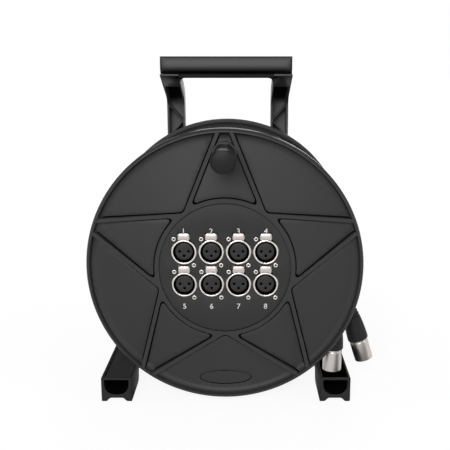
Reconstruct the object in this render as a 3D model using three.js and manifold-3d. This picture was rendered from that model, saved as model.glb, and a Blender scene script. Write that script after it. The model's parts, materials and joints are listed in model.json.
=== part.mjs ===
// A stage box snake on a carry drum: eight microphone sockets in the drum's star-ribbed front,
// a multicore wound on the drum, and a moulded swan-neck stand with a handle and two hollow feet.
// Millimetres. X runs to the right, Y away from the viewer, Z up from the ground.
// Inside the assembly, Y is counted from the front rim's plane and Z from the drum's axis.
import * as THREE from 'three';
import { mergeVertices } from 'three/addons/utils/BufferGeometryUtils.js';
import Module from 'manifold-3d';

const wasm = await Module();
wasm.setup();

// Fits and cutters
const seatGap = 0.3; // between pieces that rest on each other
const turningGap = 0.3; // radial, between a shaft and what turns on it
const overrun = 3; // how far a cutter runs past the face that it opens
const mergeDistance = 0.001;
const flatness = 0.01; // corners that stand less than this from a flat face are left out

// Drum flanges
const axisHeight = 145;
const flangeRadius = 135.6;
const flangeDepth = 13;
const drumWidth = 152; // front rim plane to rear rim plane
const lipWidth = 3.8;
const lipHeight = 1; // the rim stands this far before the star
const edgeRound = 0.8;
const rimRoundDepth = 5; // the lip's crest falls away to the rim over this depth
const floorDepthAtHub = 1; // pocket floor behind the star, at its middle
const floorDepthAtRim = 6.5;
const rimFillet = 5;
const webThickness = 3;
const spigotLength = 15;
const spigotWall = 4.2;

// Star of ribs on each flange
const starArms = 5;
const ribWidth = 3.8;
const armHalfWidthAtRim = 8.6;
const notchSetOut = 3.9; // from the plate's edge to where two arms meet
const hubRingWidth = 5.3; // from the plate's edge to the pockets
const pocketCorner = 7.5;
const grooveWidth = 1.2;
const grooveDepth = 0.9;

// Bare oval recess near the front flange's lower edge
const ovalHalfWidth = 24;
const ovalHalfHeight = 7;
const ovalInset = 20.6; // from the rim to the recess's middle
const ovalDepth = 0.9;

// Connector plate and its sockets
const plateThickness = 2;
const plateLedge = 2; // the plate reaches this far past the spigot's bore
const socketColumns = 4;
const socketRows = 2;
const socketPitchX = 26.5;
const socketPitchZ = 32.7;
const socketClearance = 0.155; // from the outermost corners to the spigot's bore
const shellRadius = 12.5;
const shellWall = 2.1;
const shellProud = 0.8; // before the plate
const shellLength = 25;
const shellShoulder = 8.5; // depth of the narrower rear part
const socketFlangeWidth = 25.6;
const socketFlangeHeight = 30.6;
const socketFlangeThickness = 1.6;
const insertRadius = 8.6;
const insertSetBack = 2.2;
const contactRadius = 1.3;
const contactDepth = 9;
const contactSpacing = 8.7;
const contactDrop = 4.3;
const latchWidth = 11.3;
const latchTop = 18.9; // above the socket's middle
const latchCorner = 2.2;
const latchProud = 1.8;
const latchThickness = 2.3;
const stemWidth = 8;
const stemHeight = 4;
const stemLength = 7;

// Barrel, bushes and axle
const barrelRadius = 70;
const barrelWall = 4;
const sleeveLength = 60;
const sleeveWall = 5;
const bushLength = 14;
const bushWall = 4;
const axleRadius = 8;
const axleClipWidth = 4;
const axleClipThickness = 1.6;
const axleFrontStub = 5;
const axleRearStub = 13;
const nutRadius = 13;
const nutThickness = 8;
const thrustGap = 0.5;

// Crank knob and its boss
const knobInset = 24.1; // from the rim to the knob's axis
const bossRadius = 11.8;
const bossProud = 0.8; // before the star
const knobRadius = 10.2;
const knobBaseRadius = 10.4;
const knobReach = 58; // before the rim plane
const knobEdge = 1.6;
const knobFluteCount = 4;
const fluteRadius = 9;
const fluteDepth = 1.1;
const pinRadius = 3;
const pinReach = 44;
const pinHeadRadius = 7;
const pinHeadThickness = 2.6;

// Wound multicore and what stands on its free end
const multicoreRadius = 5.25;
const turns = 9;
const turnPitch = 11.2;
const windingRadius = 104.5; // middle of the cable in the outer layer
const windingStart = 18.5; // Y of the first turn
const layerGap = 0.4;
const coreMargin = 8; // the inner layers' width past the outer turns' middles
const turnSteps = 24;
const turnSides = 6;
const diveTurnShare = 0.16; // share of a turn in which an end sinks into the inner layers
const diveDepth = 14;
const diveSlopeShare = 0.5; // of the turns' own slope, while an end sinks
const gutterGap = 0.7;
const breakoutLength = 50;
const breakoutTailRadius = 11;
const breakoutCableRadius = 7.5;
const breakoutAngle = 50; // degrees above the horizontal, seen from the front
const breakoutOrbit = 122;
const breakoutY = 80;
const tailRadius = 3;
const tailSpacing = 11;
const plugRadius = 10;
const plugWall = 1.1;
const plugLength = 22.5;
const plugMouth = 15;
const plugEdge = 1.4;
const plugBootLength = 47;
const plugBootRadius = 10.8;
const plugBootTip = 4.8;
const plugBootRibs = 3;
const plugBootRibDepth = 0.5;

// Routes of the free stretches: distance from the axis, degrees above +X seen from the front, and Y
const leadStraight = 12; // before the breakout
const tailStraight = 8; // after it
const leadOrbits = [
  [70.3, 176, 134],
  [74.5, 176, 134],
  [82, 174.2, 134],
  [92, 170.2, 134],
  [103, 163.6, 134],
  [111.5, 155.6, 133.6],
  [116.4, 146, 132],
  [117.2, 136, 128],
  [117, 126, 121],
  [117, 116, 112.5],
  [117.2, 106, 103.5],
  [117.8, 96, 94.5],
  [119.2, 87, 87],
  [121.6, 78, 82],
];
const frontTailOrbits = [
  [122.6, 28, 70],
  [119, 19, 62],
  [116.8, 10, 52],
  [116, 1, 41],
  [115.6, -7, 32.5],
];
const rearTailOrbits = [
  [122.2, 28, 83],
  [118.6, 19, 77],
  [116.8, 10, 69],
  [116.6, 1, 60],
  [117.3, -7, 54],
];
// The tails' last points, as X, Y and Z
const frontTailEnd = [
  [112.9, 26.8, -26],
  [110.5, 25.1, -35],
  [110.4, 25, -43.9],
];
const rearTailEnd = [
  [118.7, 51.2, -24.5],
  [121, 50.2, -30.2],
  [123.6, 50, -37.4],
  [126.1, 50, -45.46],
];

// Wiring inside the barrel
const glandRadius = 7;
const glandLip = 2;
const glandY = 60;
const trunkRadius = 4;
const branchRadius = 1.6;
const splitY = 48;

// Handle
const handleHalfWidth = 69.2;
const gripTop = 203;
const gripBottom = 185.3;
const gripFront = 88;
const gripCoverDepth = 12;
const gripDepth = 25;
const gripRound = 7;
const gripEndRound = 7.5;
const lipDrop = 4.5;
const lipSetBack = 8;
const lipEndRound = 6;

// Side frames: swan-neck arm, upright and splayed leg
const armInner = 50;
const armOuter = 70;
const armTipFront = 98;
const armTipLower = 182.4;
const armSlopeAngle = 20.8; // degrees
const armDepth = 17; // square to the slope
const armMouthDepth = 15; // from the grip's back to where the arm's hollow opens
const uprightSetBack = 16; // behind the rear rim
const uprightDepth = 20;
const armBend = 16;
const outerWall = 2.5;
const innerWall = 1.8;
const backWall = 3;
const kneeHeight = 60; // above the drum's axis, where the leg starts to splay
const trussTop = 150;
const trussStep = 19;
const trussWidth = 2;
const trussSetBack = 2;

// Feet
const footCentre = 112.1;
const footWidth = 31;
const footHeight = 26.4;
const footFront = 11;
const footTail = 6; // behind the upright
const legFootWidth = 25;
const padLength = 45;
const padRound = 10;
const rearPadLength = 34;
const archHeight = 14;
const footEdge = 2;
const tunnelWidth = 25;
const tunnelHeight = 16;
const tunnelRoof = 2.5;
const tunnelDepth = 44;
const trayWidth = 25;
const trayDepth = 2;
const trayStart = 14;
const traySetBack = 8; // before the upright
const notchWidth = 21;
const notchHeight = 4.5;
const tenonClearance = 1; // to the leg's walls
const tenonHeight = 22;

// Hub carrier, cross bar and bolts
const carrierDepth = 16;
const carrierArmWidth = 24;
const carrierArmWall = 3;
const carrierArmRise = 46; // above and below the drum's axis, at the legs
const hubBossRadius = 27;
const earLength = 17;
const earThickness = 3;
const crossBarHeight = 18;
const crossBarDrop = 78;
const boltRadius = 3;
const boltLength = 9;
const boltHeadRadius = 6;
const boltHeadThickness = 4;

// Facets
const flangeFacets = 45;
const rearFlangeFacets = 30;
const rimRoundFacets = 3;
const barrelFacets = 36;
const shellFacets = 16;
const openingFacets = 12;
const smallFacets = 10;
const roundFacets = 14;
const arcFacets = 4;
const filletFacets = 2;
const cornerFacets = 2;
const branchFacets = 5;
const tubeSides = 8;
const tubeStepDiameters = 2.9;

// Values that follow from the sizes above
const starFace = lipHeight;
const barrelInner = barrelRadius - barrelWall;
const spigotOuter = barrelInner - seatGap;
const spigotInner = spigotOuter - spigotWall;
const plateRadius = spigotInner + plateLedge;
const notchRadius = plateRadius + notchSetOut;
const patternWidth = (socketColumns - 1) * socketPitchX + socketFlangeWidth;
const patternHeight = (socketRows - 1) * socketPitchZ + socketFlangeHeight;
const patternRadius = Math.hypot(patternWidth, patternHeight) / 2;
const socketFitShare = (spigotInner - socketClearance) / patternRadius; // of the sockets' sizes as listed
const knobHeight = flangeRadius - knobInset;
const ovalDrop = flangeRadius - ovalInset;
const uprightFront = drumWidth + uprightSetBack;
const pocketRadius = flangeRadius - lipWidth;
const hubRingRadius = plateRadius + hubRingWidth;
const hubBack = starFace + floorDepthAtHub + webThickness;
const plateBack = starFace + plateThickness;
const bushOuter = axleRadius + turningGap + bushWall;
const sleeveInner = bushOuter + seatGap;
const sleeveOuter = sleeveInner + sleeveWall;
const ground = -axisHeight;
const uprightBack = uprightFront + uprightDepth;
const footEnd = uprightBack + footTail;
const trayEnd = uprightFront - traySetBack;
const armMouth = gripFront + gripDepth + armMouthDepth;
const footTop = ground + footHeight;
const legBottom = footTop + seatGap;
const axleFront = drumWidth - sleeveLength - axleFrontStub;
const axleRear = uprightBack + axleRearStub;
const nutFront = uprightBack + seatGap;
const bossFace = starFace - bossProud;

// Finishes
const finishes = {
  blackPlastic: { color: 0x3e3e3f, roughness: 0.5, metalness: 0 },
  darkPlastic: { color: 0x2b2b2c, roughness: 0.55, metalness: 0 },
  platePaint: { color: 0x3a3a3b, roughness: 0.6, metalness: 0.2 },
  nickel: { color: 0xd8d2ca, roughness: 0.35, metalness: 0.9 },
  insertPlastic: { color: 0x1c1d20, roughness: 0.6, metalness: 0 },
  steel: { color: 0xa9abad, roughness: 0.35, metalness: 0.9 },
  bushPlastic: { color: 0xd9d6cc, roughness: 0.5, metalness: 0 },
  cable: { color: 0x1b1b1c, roughness: 0.65, metalness: 0 },
  rubber: { color: 0x222223, roughness: 0.75, metalness: 0 },
};

// A closed geometry as a solid whose faces point outwards
function toSolid(geometry) {
  const bare = geometry.clone();
  bare.deleteAttribute('normal');
  bare.deleteAttribute('uv');
  const merged = mergeVertices(bare, mergeDistance);
  const at = merged.getAttribute('position');
  const order = merged.index.array;
  const corner = [new THREE.Vector3(), new THREE.Vector3(), new THREE.Vector3()];
  const faces = [];
  let volume = 0;
  for (let i = 0; i < order.length; i += 3) {
    const [a, b, c] = [order[i], order[i + 1], order[i + 2]];
    if (a === b || b === c || c === a) continue;
    corner[0].fromBufferAttribute(at, a);
    corner[1].fromBufferAttribute(at, b);
    corner[2].fromBufferAttribute(at, c);
    volume += corner[0].dot(corner[1].cross(corner[2]));
    faces.push([a, b, c]);
  }
  const triVerts = new Uint32Array(faces.flatMap(([a, b, c]) => (volume < 0 ? [a, c, b] : [a, b, c])));
  const vertProperties = new Float32Array(at.array);
  return new wasm.Manifold(new wasm.Mesh({ numProp: 3, vertProperties, triVerts }));
}

function toGeometry(solid) {
  const mesh = solid.asOriginal().simplify(flatness).getMesh();
  const geometry = new THREE.BufferGeometry();
  geometry.setAttribute('position', new THREE.BufferAttribute(new Float32Array(mesh.vertProperties), 3));
  geometry.setIndex(new THREE.BufferAttribute(new Uint32Array(mesh.triVerts), 1));
  geometry.computeVertexNormals();
  return geometry;
}

const join = (first, ...others) => others.reduce((sum, solid) => sum.add(solid), first);
const cut = (first, ...others) => others.reduce((rest, solid) => rest.subtract(solid), first);

// A closed profile of [radius, y] points turned about the Y axis
function revolve(profile, facets) {
  const points = profile.map(([radius, y]) => new THREE.Vector2(radius, y));
  points.push(points[0].clone());
  return toSolid(new THREE.LatheGeometry(points, facets));
}

function disc(radius, y0, y1, facets) {
  return revolve([[0, y0], [radius, y0], [radius, y1], [0, y1]], facets);
}

function ring(inner, outer, y0, y1, facets) {
  return revolve([[inner, y0], [outer, y0], [outer, y1], [inner, y1]], facets);
}

// A shape drawn in X and Z, carried along Y
function alongY(shape, y0, y1, facets = arcFacets) {
  const geometry = new THREE.ExtrudeGeometry(shape, {
    depth: y1 - y0,
    bevelEnabled: false,
    curveSegments: facets,
  });
  geometry.rotateX(Math.PI / 2);
  geometry.translate(0, y1, 0);
  return toSolid(geometry);
}

// A shape drawn in Y and Z, carried along X
function alongX(shape, x0, x1, facets = arcFacets) {
  const geometry = new THREE.ExtrudeGeometry(shape, {
    depth: x1 - x0,
    bevelEnabled: false,
    curveSegments: facets,
  });
  const turn = new THREE.Matrix4().makeBasis(
    new THREE.Vector3(0, 1, 0),
    new THREE.Vector3(0, 0, 1),
    new THREE.Vector3(1, 0, 0),
  );
  geometry.applyMatrix4(turn);
  geometry.translate(x0, 0, 0);
  return toSolid(geometry);
}

// A shape drawn in X and Y, carried up Z
function alongZ(shape, z0, z1, facets = arcFacets) {
  const geometry = new THREE.ExtrudeGeometry(shape, {
    depth: z1 - z0,
    bevelEnabled: false,
    curveSegments: facets,
  });
  geometry.translate(0, 0, z0);
  return toSolid(geometry);
}

function polygon(points) {
  return new THREE.Shape(points.map(([a, b]) => new THREE.Vector2(a, b)));
}

function block(x0, x1, y0, y1, z0, z1) {
  const geometry = new THREE.BoxGeometry(x1 - x0, y1 - y0, z1 - z0);
  geometry.translate((x0 + x1) / 2, (y0 + y1) / 2, (z0 + z1) / 2);
  return toSolid(geometry);
}

// A rectangle with rounded corners
function roundedRectangle(x0, x1, z0, z1, radius) {
  const shape = new THREE.Shape();
  shape.moveTo(x0 + radius, z0);
  shape.lineTo(x1 - radius, z0);
  shape.absarc(x1 - radius, z0 + radius, radius, -Math.PI / 2, 0);
  shape.lineTo(x1, z1 - radius);
  shape.absarc(x1 - radius, z1 - radius, radius, 0, Math.PI / 2);
  shape.lineTo(x0 + radius, z1);
  shape.absarc(x0 + radius, z1 - radius, radius, Math.PI / 2, Math.PI);
  shape.lineTo(x0, z0 + radius);
  shape.absarc(x0 + radius, z0 + radius, radius, Math.PI, Math.PI * 1.5);
  return shape;
}

// Distance from the assembly's middle, at an angle above the +X axis seen from the front
function polar(radius, degrees, y) {
  const angle = THREE.MathUtils.degToRad(degrees);
  return new THREE.Vector3(radius * Math.cos(angle), y, radius * Math.sin(angle));
}

const drumAngle = (index) => (index * 2 * Math.PI) / starArms;

// Star of ribs: everything here is drawn for the arm that points up, and turned for the others

const halfArmAngle = Math.PI / starArms;
const notch = new THREE.Vector2(
  notchRadius * Math.sin(halfArmAngle),
  notchRadius * Math.cos(halfArmAngle),
);
const ribEnd = new THREE.Vector2(
  armHalfWidthAtRim,
  Math.sqrt(pocketRadius ** 2 - armHalfWidthAtRim ** 2),
);
const ribRun = ribEnd.clone().sub(notch).normalize();
const ribSide = new THREE.Vector2(-ribRun.y, ribRun.x); // from the field towards the arm's middle

// The point of a line beside the rib, a step towards the arm's middle, where it meets a circle
function ribPoint(step, radius) {
  const start = notch.clone().addScaledVector(ribSide, step);
  const along = start.dot(ribRun);
  const reach = Math.sqrt(along ** 2 - start.lengthSq() + radius ** 2) - along;
  return start.addScaledVector(ribRun, reach);
}

// Pocket between the two ribs of an arm, drawn smaller by an inset
function armPocket(inset) {
  const innerRadius = hubRingRadius + inset;
  const foot = ribPoint(ribWidth + inset, innerRadius);
  const head = ribPoint(ribWidth + inset, flangeRadius);
  const cornerAngle = pocketCorner / innerRadius;
  const footAngle = Math.atan2(foot.y, foot.x);
  const above = foot.clone().addScaledVector(ribRun, pocketCorner);
  const shape = new THREE.Shape();
  shape.moveTo(-head.x, head.y);
  shape.lineTo(-above.x, above.y);
  shape.quadraticCurveTo(
    -foot.x,
    foot.y,
    -innerRadius * Math.cos(footAngle + cornerAngle),
    innerRadius * Math.sin(footAngle + cornerAngle),
  );
  shape.absarc(0, 0, innerRadius, Math.PI - footAngle - cornerAngle, footAngle + cornerAngle, true);
  shape.quadraticCurveTo(foot.x, foot.y, above.x, above.y);
  shape.lineTo(head.x, head.y);
  shape.closePath();
  return shape;
}

// Pocket between two arms, drawn smaller by an inset
function fieldPocket(inset) {
  const head = ribPoint(-inset, flangeRadius);
  const middle = new THREE.Vector2(Math.sin(halfArmAngle), Math.cos(halfArmAngle));
  const offRib = middle.clone().dot(new THREE.Vector2(-ribSide.x, -ribSide.y));
  const tip = notch.clone().addScaledVector(middle, inset / offRib);
  const across = new THREE.Vector2(middle.y, -middle.x);
  const mirror = head.clone().addScaledVector(across, -2 * head.dot(across));
  return polygon([
    [tip.x, tip.y],
    [mirror.x, mirror.y],
    [middle.x * (flangeRadius + overrun), middle.y * (flangeRadius + overrun)],
    [head.x, head.y],
  ]);
}

// The space before the pockets' dished floor, as deep as the floor or deeper by a step
function floorSpace(deeper, facets) {
  const rimFloor = starFace + floorDepthAtRim;
  const profile = [[0, -overrun], [pocketRadius, -overrun], [pocketRadius, starFace + deeper]];
  for (let step = 1; step <= filletFacets; step += 1) {
    const angle = (step / filletFacets) * (Math.PI / 2);
    profile.push([
      pocketRadius - rimFillet * (1 - Math.cos(angle)),
      starFace + deeper + (rimFloor - starFace) * Math.sin(angle),
    ]);
  }
  profile.push([plateRadius, starFace + floorDepthAtHub + deeper]);
  profile.push([0, starFace + floorDepthAtHub + deeper]);
  return revolve(profile, facets);
}

function turned(solid, angle) {
  return toSolid(toGeometry(solid).rotateY(angle));
}

// Pockets, with or without their border grooves, ready to cut from a flange's face
function starCutter(facets, grooved) {
  const pockets = [];
  const grooves = [];
  for (const outline of [armPocket, fieldPocket]) {
    const whole = alongY(outline(0), -overrun, flangeDepth);
    const inside = alongY(outline(grooveWidth), -2 * overrun, flangeDepth + overrun);
    pockets.push(whole);
    grooves.push(cut(whole, inside));
  }
  const shallow = floorSpace(0, facets);
  const deep = floorSpace(grooveDepth, facets);
  const cutters = [];
  for (let arm = 0; arm < starArms; arm += 1) {
    for (const pocket of pockets) cutters.push(turned(pocket, drumAngle(arm)).intersect(shallow));
    if (!grooved) continue;
    for (const groove of grooves) cutters.push(turned(groove, drumAngle(arm)).intersect(deep));
  }
  return join(...cutters);
}

// Rim, dished back and barrel spigot that both flanges share, from the star's face round to the spigot
function flangeProfile(spigotEnd) {
  const rimBack = starFace + floorDepthAtRim + webThickness;
  const crest = pocketRadius + edgeRound;
  const rimRound = [];
  for (let step = 0; step <= rimRoundFacets; step += 1) {
    const angle = (step / rimRoundFacets) * (Math.PI / 2);
    rimRound.push([
      crest + (flangeRadius - crest) * Math.sin(angle),
      rimRoundDepth * (1 - Math.cos(angle)),
    ]);
  }
  return [
    [pocketRadius, starFace],
    [pocketRadius, edgeRound],
    ...rimRound,
    [flangeRadius, flangeDepth],
    [pocketRadius, flangeDepth],
    [pocketRadius - rimFillet / 2, rimBack],
    [barrelRadius + seatGap, hubBack],
    [spigotOuter, hubBack],
    [spigotOuter, spigotEnd],
    [spigotInner, spigotEnd],
  ];
}

function frontFlange() {
  const ledgeBack = plateBack + seatGap;
  const profile = [
    [plateRadius + seatGap, starFace],
    ...flangeProfile(hubBack + spigotLength),
    [spigotInner, ledgeBack],
    [plateRadius + seatGap, ledgeBack],
  ];
  const body = cut(revolve(profile, flangeFacets), starCutter(flangeFacets, true));
  const oval = new THREE.Shape();
  oval.absellipse(0, -ovalDrop, ovalHalfWidth, ovalHalfHeight, 0, 2 * Math.PI);
  const ovalCutter = alongY(oval, -overrun, flangeDepth, smallFacets);
  const recess = ovalCutter.intersect(floorSpace(ovalDepth, flangeFacets));
  const place = (solid) => solid.translate([0, 0, knobHeight]);
  const boss = place(disc(bossRadius, bossFace, starFace + floorDepthAtRim, roundFacets * 2));
  const pinHole = place(disc(pinRadius + turningGap, 0, flangeDepth, smallFacets));
  return cut(join(body, boss), recess, pinHole);
}

// The rear flange carries the hub's sleeve. It is made facing forwards and then turned end for end
function rearFlange() {
  const profile = [
    [sleeveInner, starFace],
    ...flangeProfile(hubBack + spigotLength),
    [spigotInner, hubBack],
    [sleeveOuter, hubBack],
    [sleeveOuter, sleeveLength],
    [sleeveInner, sleeveLength],
  ];
  const body = cut(revolve(profile, rearFlangeFacets), starCutter(rearFlangeFacets, false));
  const geometry = toGeometry(body);
  geometry.rotateZ(Math.PI);
  geometry.translate(0, drumWidth, 0);
  return toSolid(geometry);
}

// Sockets

const socketPlaces = [];
for (let row = 0; row < socketRows; row += 1) {
  for (let column = 0; column < socketColumns; column += 1) {
    socketPlaces.push([
      (column - (socketColumns - 1) / 2) * socketPitchX,
      ((socketRows - 1) / 2 - row) * socketPitchZ,
    ]);
  }
}

// Plate opening for one socket: round, with a slot above it for the latch
function socketOpening(x, z) {
  const radius = shellRadius + 2 * seatGap;
  const half = latchWidth / 2 + seatGap;
  const slotAngle = Math.asin(half / radius);
  const path = new THREE.Path();
  path.absarc(x, z, radius, Math.PI / 2 + slotAngle, Math.PI / 2 - slotAngle, false);
  path.lineTo(x + half, z + latchTop + seatGap);
  path.lineTo(x - half, z + latchTop + seatGap);
  path.closePath();
  return path;
}

// The sockets and the plate's holes, as wide and as far apart as the spigot's bore allows
function fitted(solid) {
  return solid.scale([socketFitShare, 1, socketFitShare]);
}

function connectorPlate() {
  const shape = new THREE.Shape();
  shape.absarc(0, 0, plateRadius / socketFitShare, 0, 2 * Math.PI);
  for (const [x, z] of socketPlaces) shape.holes.push(socketOpening(x, z));
  return fitted(alongY(shape, starFace, plateBack, openingFacets));
}

function socketShell() {
  const front = starFace - shellProud;
  const inner = shellRadius - shellWall;
  const rearInner = insertRadius + seatGap;
  const chamfer = shellWall / 4;
  const tube = revolve(
    [
      [inner, front],
      [shellRadius - chamfer, front],
      [shellRadius, front + chamfer],
      [shellRadius, front + shellLength],
      [rearInner, front + shellLength],
      [rearInner, front + shellShoulder],
      [inner, front + shellShoulder],
    ],
    shellFacets,
  );
  const flangeFront = plateBack + seatGap;
  const halfWidth = socketFlangeWidth / 2;
  const halfHeight = socketFlangeHeight / 2;
  const flangeBack = flangeFront + socketFlangeThickness;
  const flange = block(-halfWidth, halfWidth, flangeFront, flangeBack, -halfHeight, halfHeight);
  const bore = disc(shellRadius - shellWall / 2, flangeFront - overrun, flangeFront + overrun, shellFacets);
  const half = stemWidth / 2 + seatGap;
  const slot = block(
    -half,
    half,
    flangeFront - seatGap,
    flangeFront + stemLength,
    shellRadius + seatGap / 2,
    halfHeight + overrun,
  );
  return join(tube, cut(flange, bore, slot));
}

function socketInsert() {
  const front = starFace + insertSetBack;
  const body = disc(insertRadius, front, starFace - shellProud + shellLength, shellFacets);
  const hole = disc(contactRadius, front - overrun, front + contactDepth, branchFacets);
  const half = contactSpacing / 2;
  return cut(
    body,
    hole.translate([-half, 0, 0]),
    hole.translate([half, 0, 0]),
    hole.translate([0, 0, -contactDrop]),
  );
}

function socketLatch() {
  const front = starFace - latchProud;
  const half = latchWidth / 2;
  const bottom = shellRadius - latchCorner;
  const tab = alongY(
    roundedRectangle(-half, half, bottom, latchTop, latchCorner),
    front,
    front + latchThickness,
    cornerFacets,
  );
  const stemTop = socketFlangeHeight / 2 - seatGap;
  const stem = block(
    -stemWidth / 2,
    stemWidth / 2,
    front + latchThickness / 2,
    front + latchThickness + stemLength,
    shellRadius + 2 * seatGap,
    stemTop,
  );
  const shell = disc(shellRadius + seatGap, front - overrun, front + overrun + stemLength, shellFacets);
  return cut(join(tab, stem), shell);
}

// Crank knob, pin, bushes and axle

function crankKnob() {
  const rear = bossFace - seatGap;
  const body = revolve(
    [
      [0, -knobReach],
      [knobRadius - knobEdge, -knobReach],
      [knobRadius - knobEdge / 4, -knobReach + knobEdge / 4],
      [knobRadius, -knobReach + knobEdge],
      [knobBaseRadius, rear],
      [0, rear],
    ],
    roundFacets * 2,
  );
  const flute = disc(fluteRadius, -knobReach - overrun, rear + overrun, roundFacets);
  const reach = knobRadius - fluteDepth + fluteRadius;
  const flutes = [];
  for (let index = 0; index < knobFluteCount; index += 1) {
    const angle = (index * 2 * Math.PI) / knobFluteCount;
    flutes.push(flute.translate([reach * Math.cos(angle), 0, reach * Math.sin(angle)]));
  }
  const bore = disc(pinRadius + turningGap, -pinReach - seatGap, rear + overrun, smallFacets);
  return cut(body, ...flutes, bore);
}

function knobPin() {
  const webBack = starFace + floorDepthAtRim + webThickness;
  const head = webBack + seatGap;
  return revolve(
    [
      [0, -pinReach],
      [pinRadius, -pinReach],
      [pinRadius, head],
      [pinHeadRadius, head],
      [pinHeadRadius, head + pinHeadThickness],
      [0, head + pinHeadThickness],
    ],
    smallFacets,
  );
}

function nut(radius, y0, y1, bore) {
  return cut(disc(radius, y0, y1, 6), disc(bore, y0 - overrun, y1 + overrun, roundFacets));
}

function bolt() {
  return join(
    disc(boltHeadRadius, 0, boltHeadThickness, 6),
    disc(boltRadius, -boltLength, boltHeadThickness / 2, smallFacets),
  );
}

// Swept round section. Each ring is squared to the line and carried on without twist
function sweep(points, radius, sides) {
  const at = [];
  const faces = [];
  const side = new THREE.Vector3(0, 1, 0);
  const run = new THREE.Vector3();
  points.forEach((point, index) => {
    const before = points[Math.max(index - 1, 0)];
    const after = points[Math.min(index + 1, points.length - 1)];
    run.subVectors(after, before).normalize();
    side.addScaledVector(run, -side.dot(run)).normalize();
    const third = run.clone().cross(side);
    for (let corner = 0; corner < sides; corner += 1) {
      const angle = (corner / sides) * 2 * Math.PI;
      const spoke = side.clone().multiplyScalar(radius * Math.cos(angle));
      spoke.addScaledVector(third, radius * Math.sin(angle)).add(point);
      at.push(spoke.x, spoke.y, spoke.z);
    }
    if (index === 0) return;
    for (let corner = 0; corner < sides; corner += 1) {
      const next = (corner + 1) % sides;
      const [a, b] = [(index - 1) * sides + corner, (index - 1) * sides + next];
      const [c, d] = [index * sides + corner, index * sides + next];
      faces.push(a, c, b, b, c, d);
    }
  });
  const last = (points.length - 1) * sides;
  for (let corner = 1; corner < sides - 1; corner += 1) {
    faces.push(0, corner, corner + 1, last, last + corner + 1, last + corner);
  }
  const geometry = new THREE.BufferGeometry();
  geometry.setAttribute('position', new THREE.Float32BufferAttribute(at, 3));
  geometry.setIndex(faces);
  return toSolid(geometry);
}

// Winding: one unbroken line of turns, whose two ends sink into the inner layers

const diveSteps = Math.round(turnSteps * diveTurnShare);

function windingPoints() {
  const points = [];
  const last = turns * turnSteps;
  for (let step = -diveSteps; step <= last + diveSteps; step += 1) {
    const past = Math.min(step, 0) + Math.max(step - last, 0);
    const advance = step - past * (1 - diveSlopeShare);
    const radius = windingRadius - diveDepth * (past / diveSteps) ** 2;
    points.push(polar(radius, (step / turnSteps) * 360, windingStart + (advance / turnSteps) * turnPitch));
  }
  return points;
}

// Both ends run straight for a length past their last bend
function withStraightEnds(points, length) {
  const [start, second] = points;
  const [beforeEnd, end] = points.slice(-2);
  const first = start.clone().sub(second).setLength(length).add(start);
  const last = end.clone().sub(beforeEnd).setLength(length).add(end);
  return [first, ...points, last];
}

const windingLine = withStraightEnds(windingPoints(), 2 * multicoreRadius);
const gutterLine = withStraightEnds(windingPoints(), 2 * multicoreRadius + seatGap);

// Least distance between stretches of the line that are more than half a turn apart
function leastGap(points, radius) {
  let least = Infinity;
  for (let i = 0; i < points.length; i += 1) {
    for (let j = i + turnSteps / 2; j < points.length; j += 1) {
      least = Math.min(least, points[i].distanceTo(points[j]));
    }
  }
  return least - 2 * radius;
}

console.log(`winding, least gap to itself: ${leastGap(windingLine, multicoreRadius).toFixed(2)} mm`);

function innerLayers() {
  const windingEnd = windingStart + turns * turnPitch;
  const outer = windingRadius - multicoreRadius - layerGap;
  const body = ring(
    barrelRadius + seatGap,
    outer,
    windingStart - coreMargin,
    windingEnd + coreMargin,
    barrelFacets,
  );
  const margin = diveSteps + 2;
  const gutters = [gutterLine.slice(0, margin), gutterLine.slice(-margin)];
  return cut(body, ...gutters.map((line) => sweep(line, multicoreRadius + gutterGap, tubeSides)));
}

// Free stretches of cable. Their points are set by hand, in angle, distance from the axis and Y

function tube(points, radius, sides = tubeSides) {
  const curve = new THREE.CatmullRomCurve3(points, false, 'centripetal');
  const section = new THREE.Shape();
  for (let corner = 0; corner < sides; corner += 1) {
    const angle = ((corner + 0.5) / sides) * 2 * Math.PI;
    const spot = [radius * Math.cos(angle), radius * Math.sin(angle)];
    if (corner === 0) section.moveTo(...spot);
    else section.lineTo(...spot);
  }
  section.closePath();
  const steps = Math.ceil(curve.getLength() / (2 * radius * tubeStepDiameters));
  return toSolid(new THREE.ExtrudeGeometry(section, { steps, bevelEnabled: false, extrudePath: curve }));
}

const breakoutMiddle = polar(breakoutOrbit, breakoutAngle, breakoutY);
const breakoutRun = new THREE.Vector3(
  Math.sin(THREE.MathUtils.degToRad(breakoutAngle)),
  0,
  -Math.cos(THREE.MathUtils.degToRad(breakoutAngle)),
);
const breakoutStart = breakoutMiddle.clone().addScaledVector(breakoutRun, -breakoutLength / 2);
const breakoutEnd = breakoutMiddle.clone().addScaledVector(breakoutRun, breakoutLength / 2);

// A piece turned about its own Y axis, laid so that this axis starts at a point and runs a given way
function laid(solid, start, run) {
  const geometry = toGeometry(solid);
  const turn = new THREE.Quaternion().setFromUnitVectors(new THREE.Vector3(0, 1, 0), run);
  geometry.applyQuaternion(turn);
  geometry.translate(start.x, start.y, start.z);
  return toSolid(geometry);
}

// Turns [distance from the axis, degrees above +X, Y] into a point
const orbit = ([radius, degrees, y]) => polar(radius, degrees, y);
const spot = ([x, y, z]) => new THREE.Vector3(x, y, z);

function tailRoute(side, orbits, end) {
  const shift = new THREE.Vector3(0, (side * tailSpacing) / 2, 0);
  const start = breakoutEnd.clone().add(shift);
  return [
    start.clone().addScaledVector(breakoutRun, seatGap),
    start.clone().addScaledVector(breakoutRun, tailStraight),
    ...orbits.map(orbit),
    ...end.map(spot),
  ];
}

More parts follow.
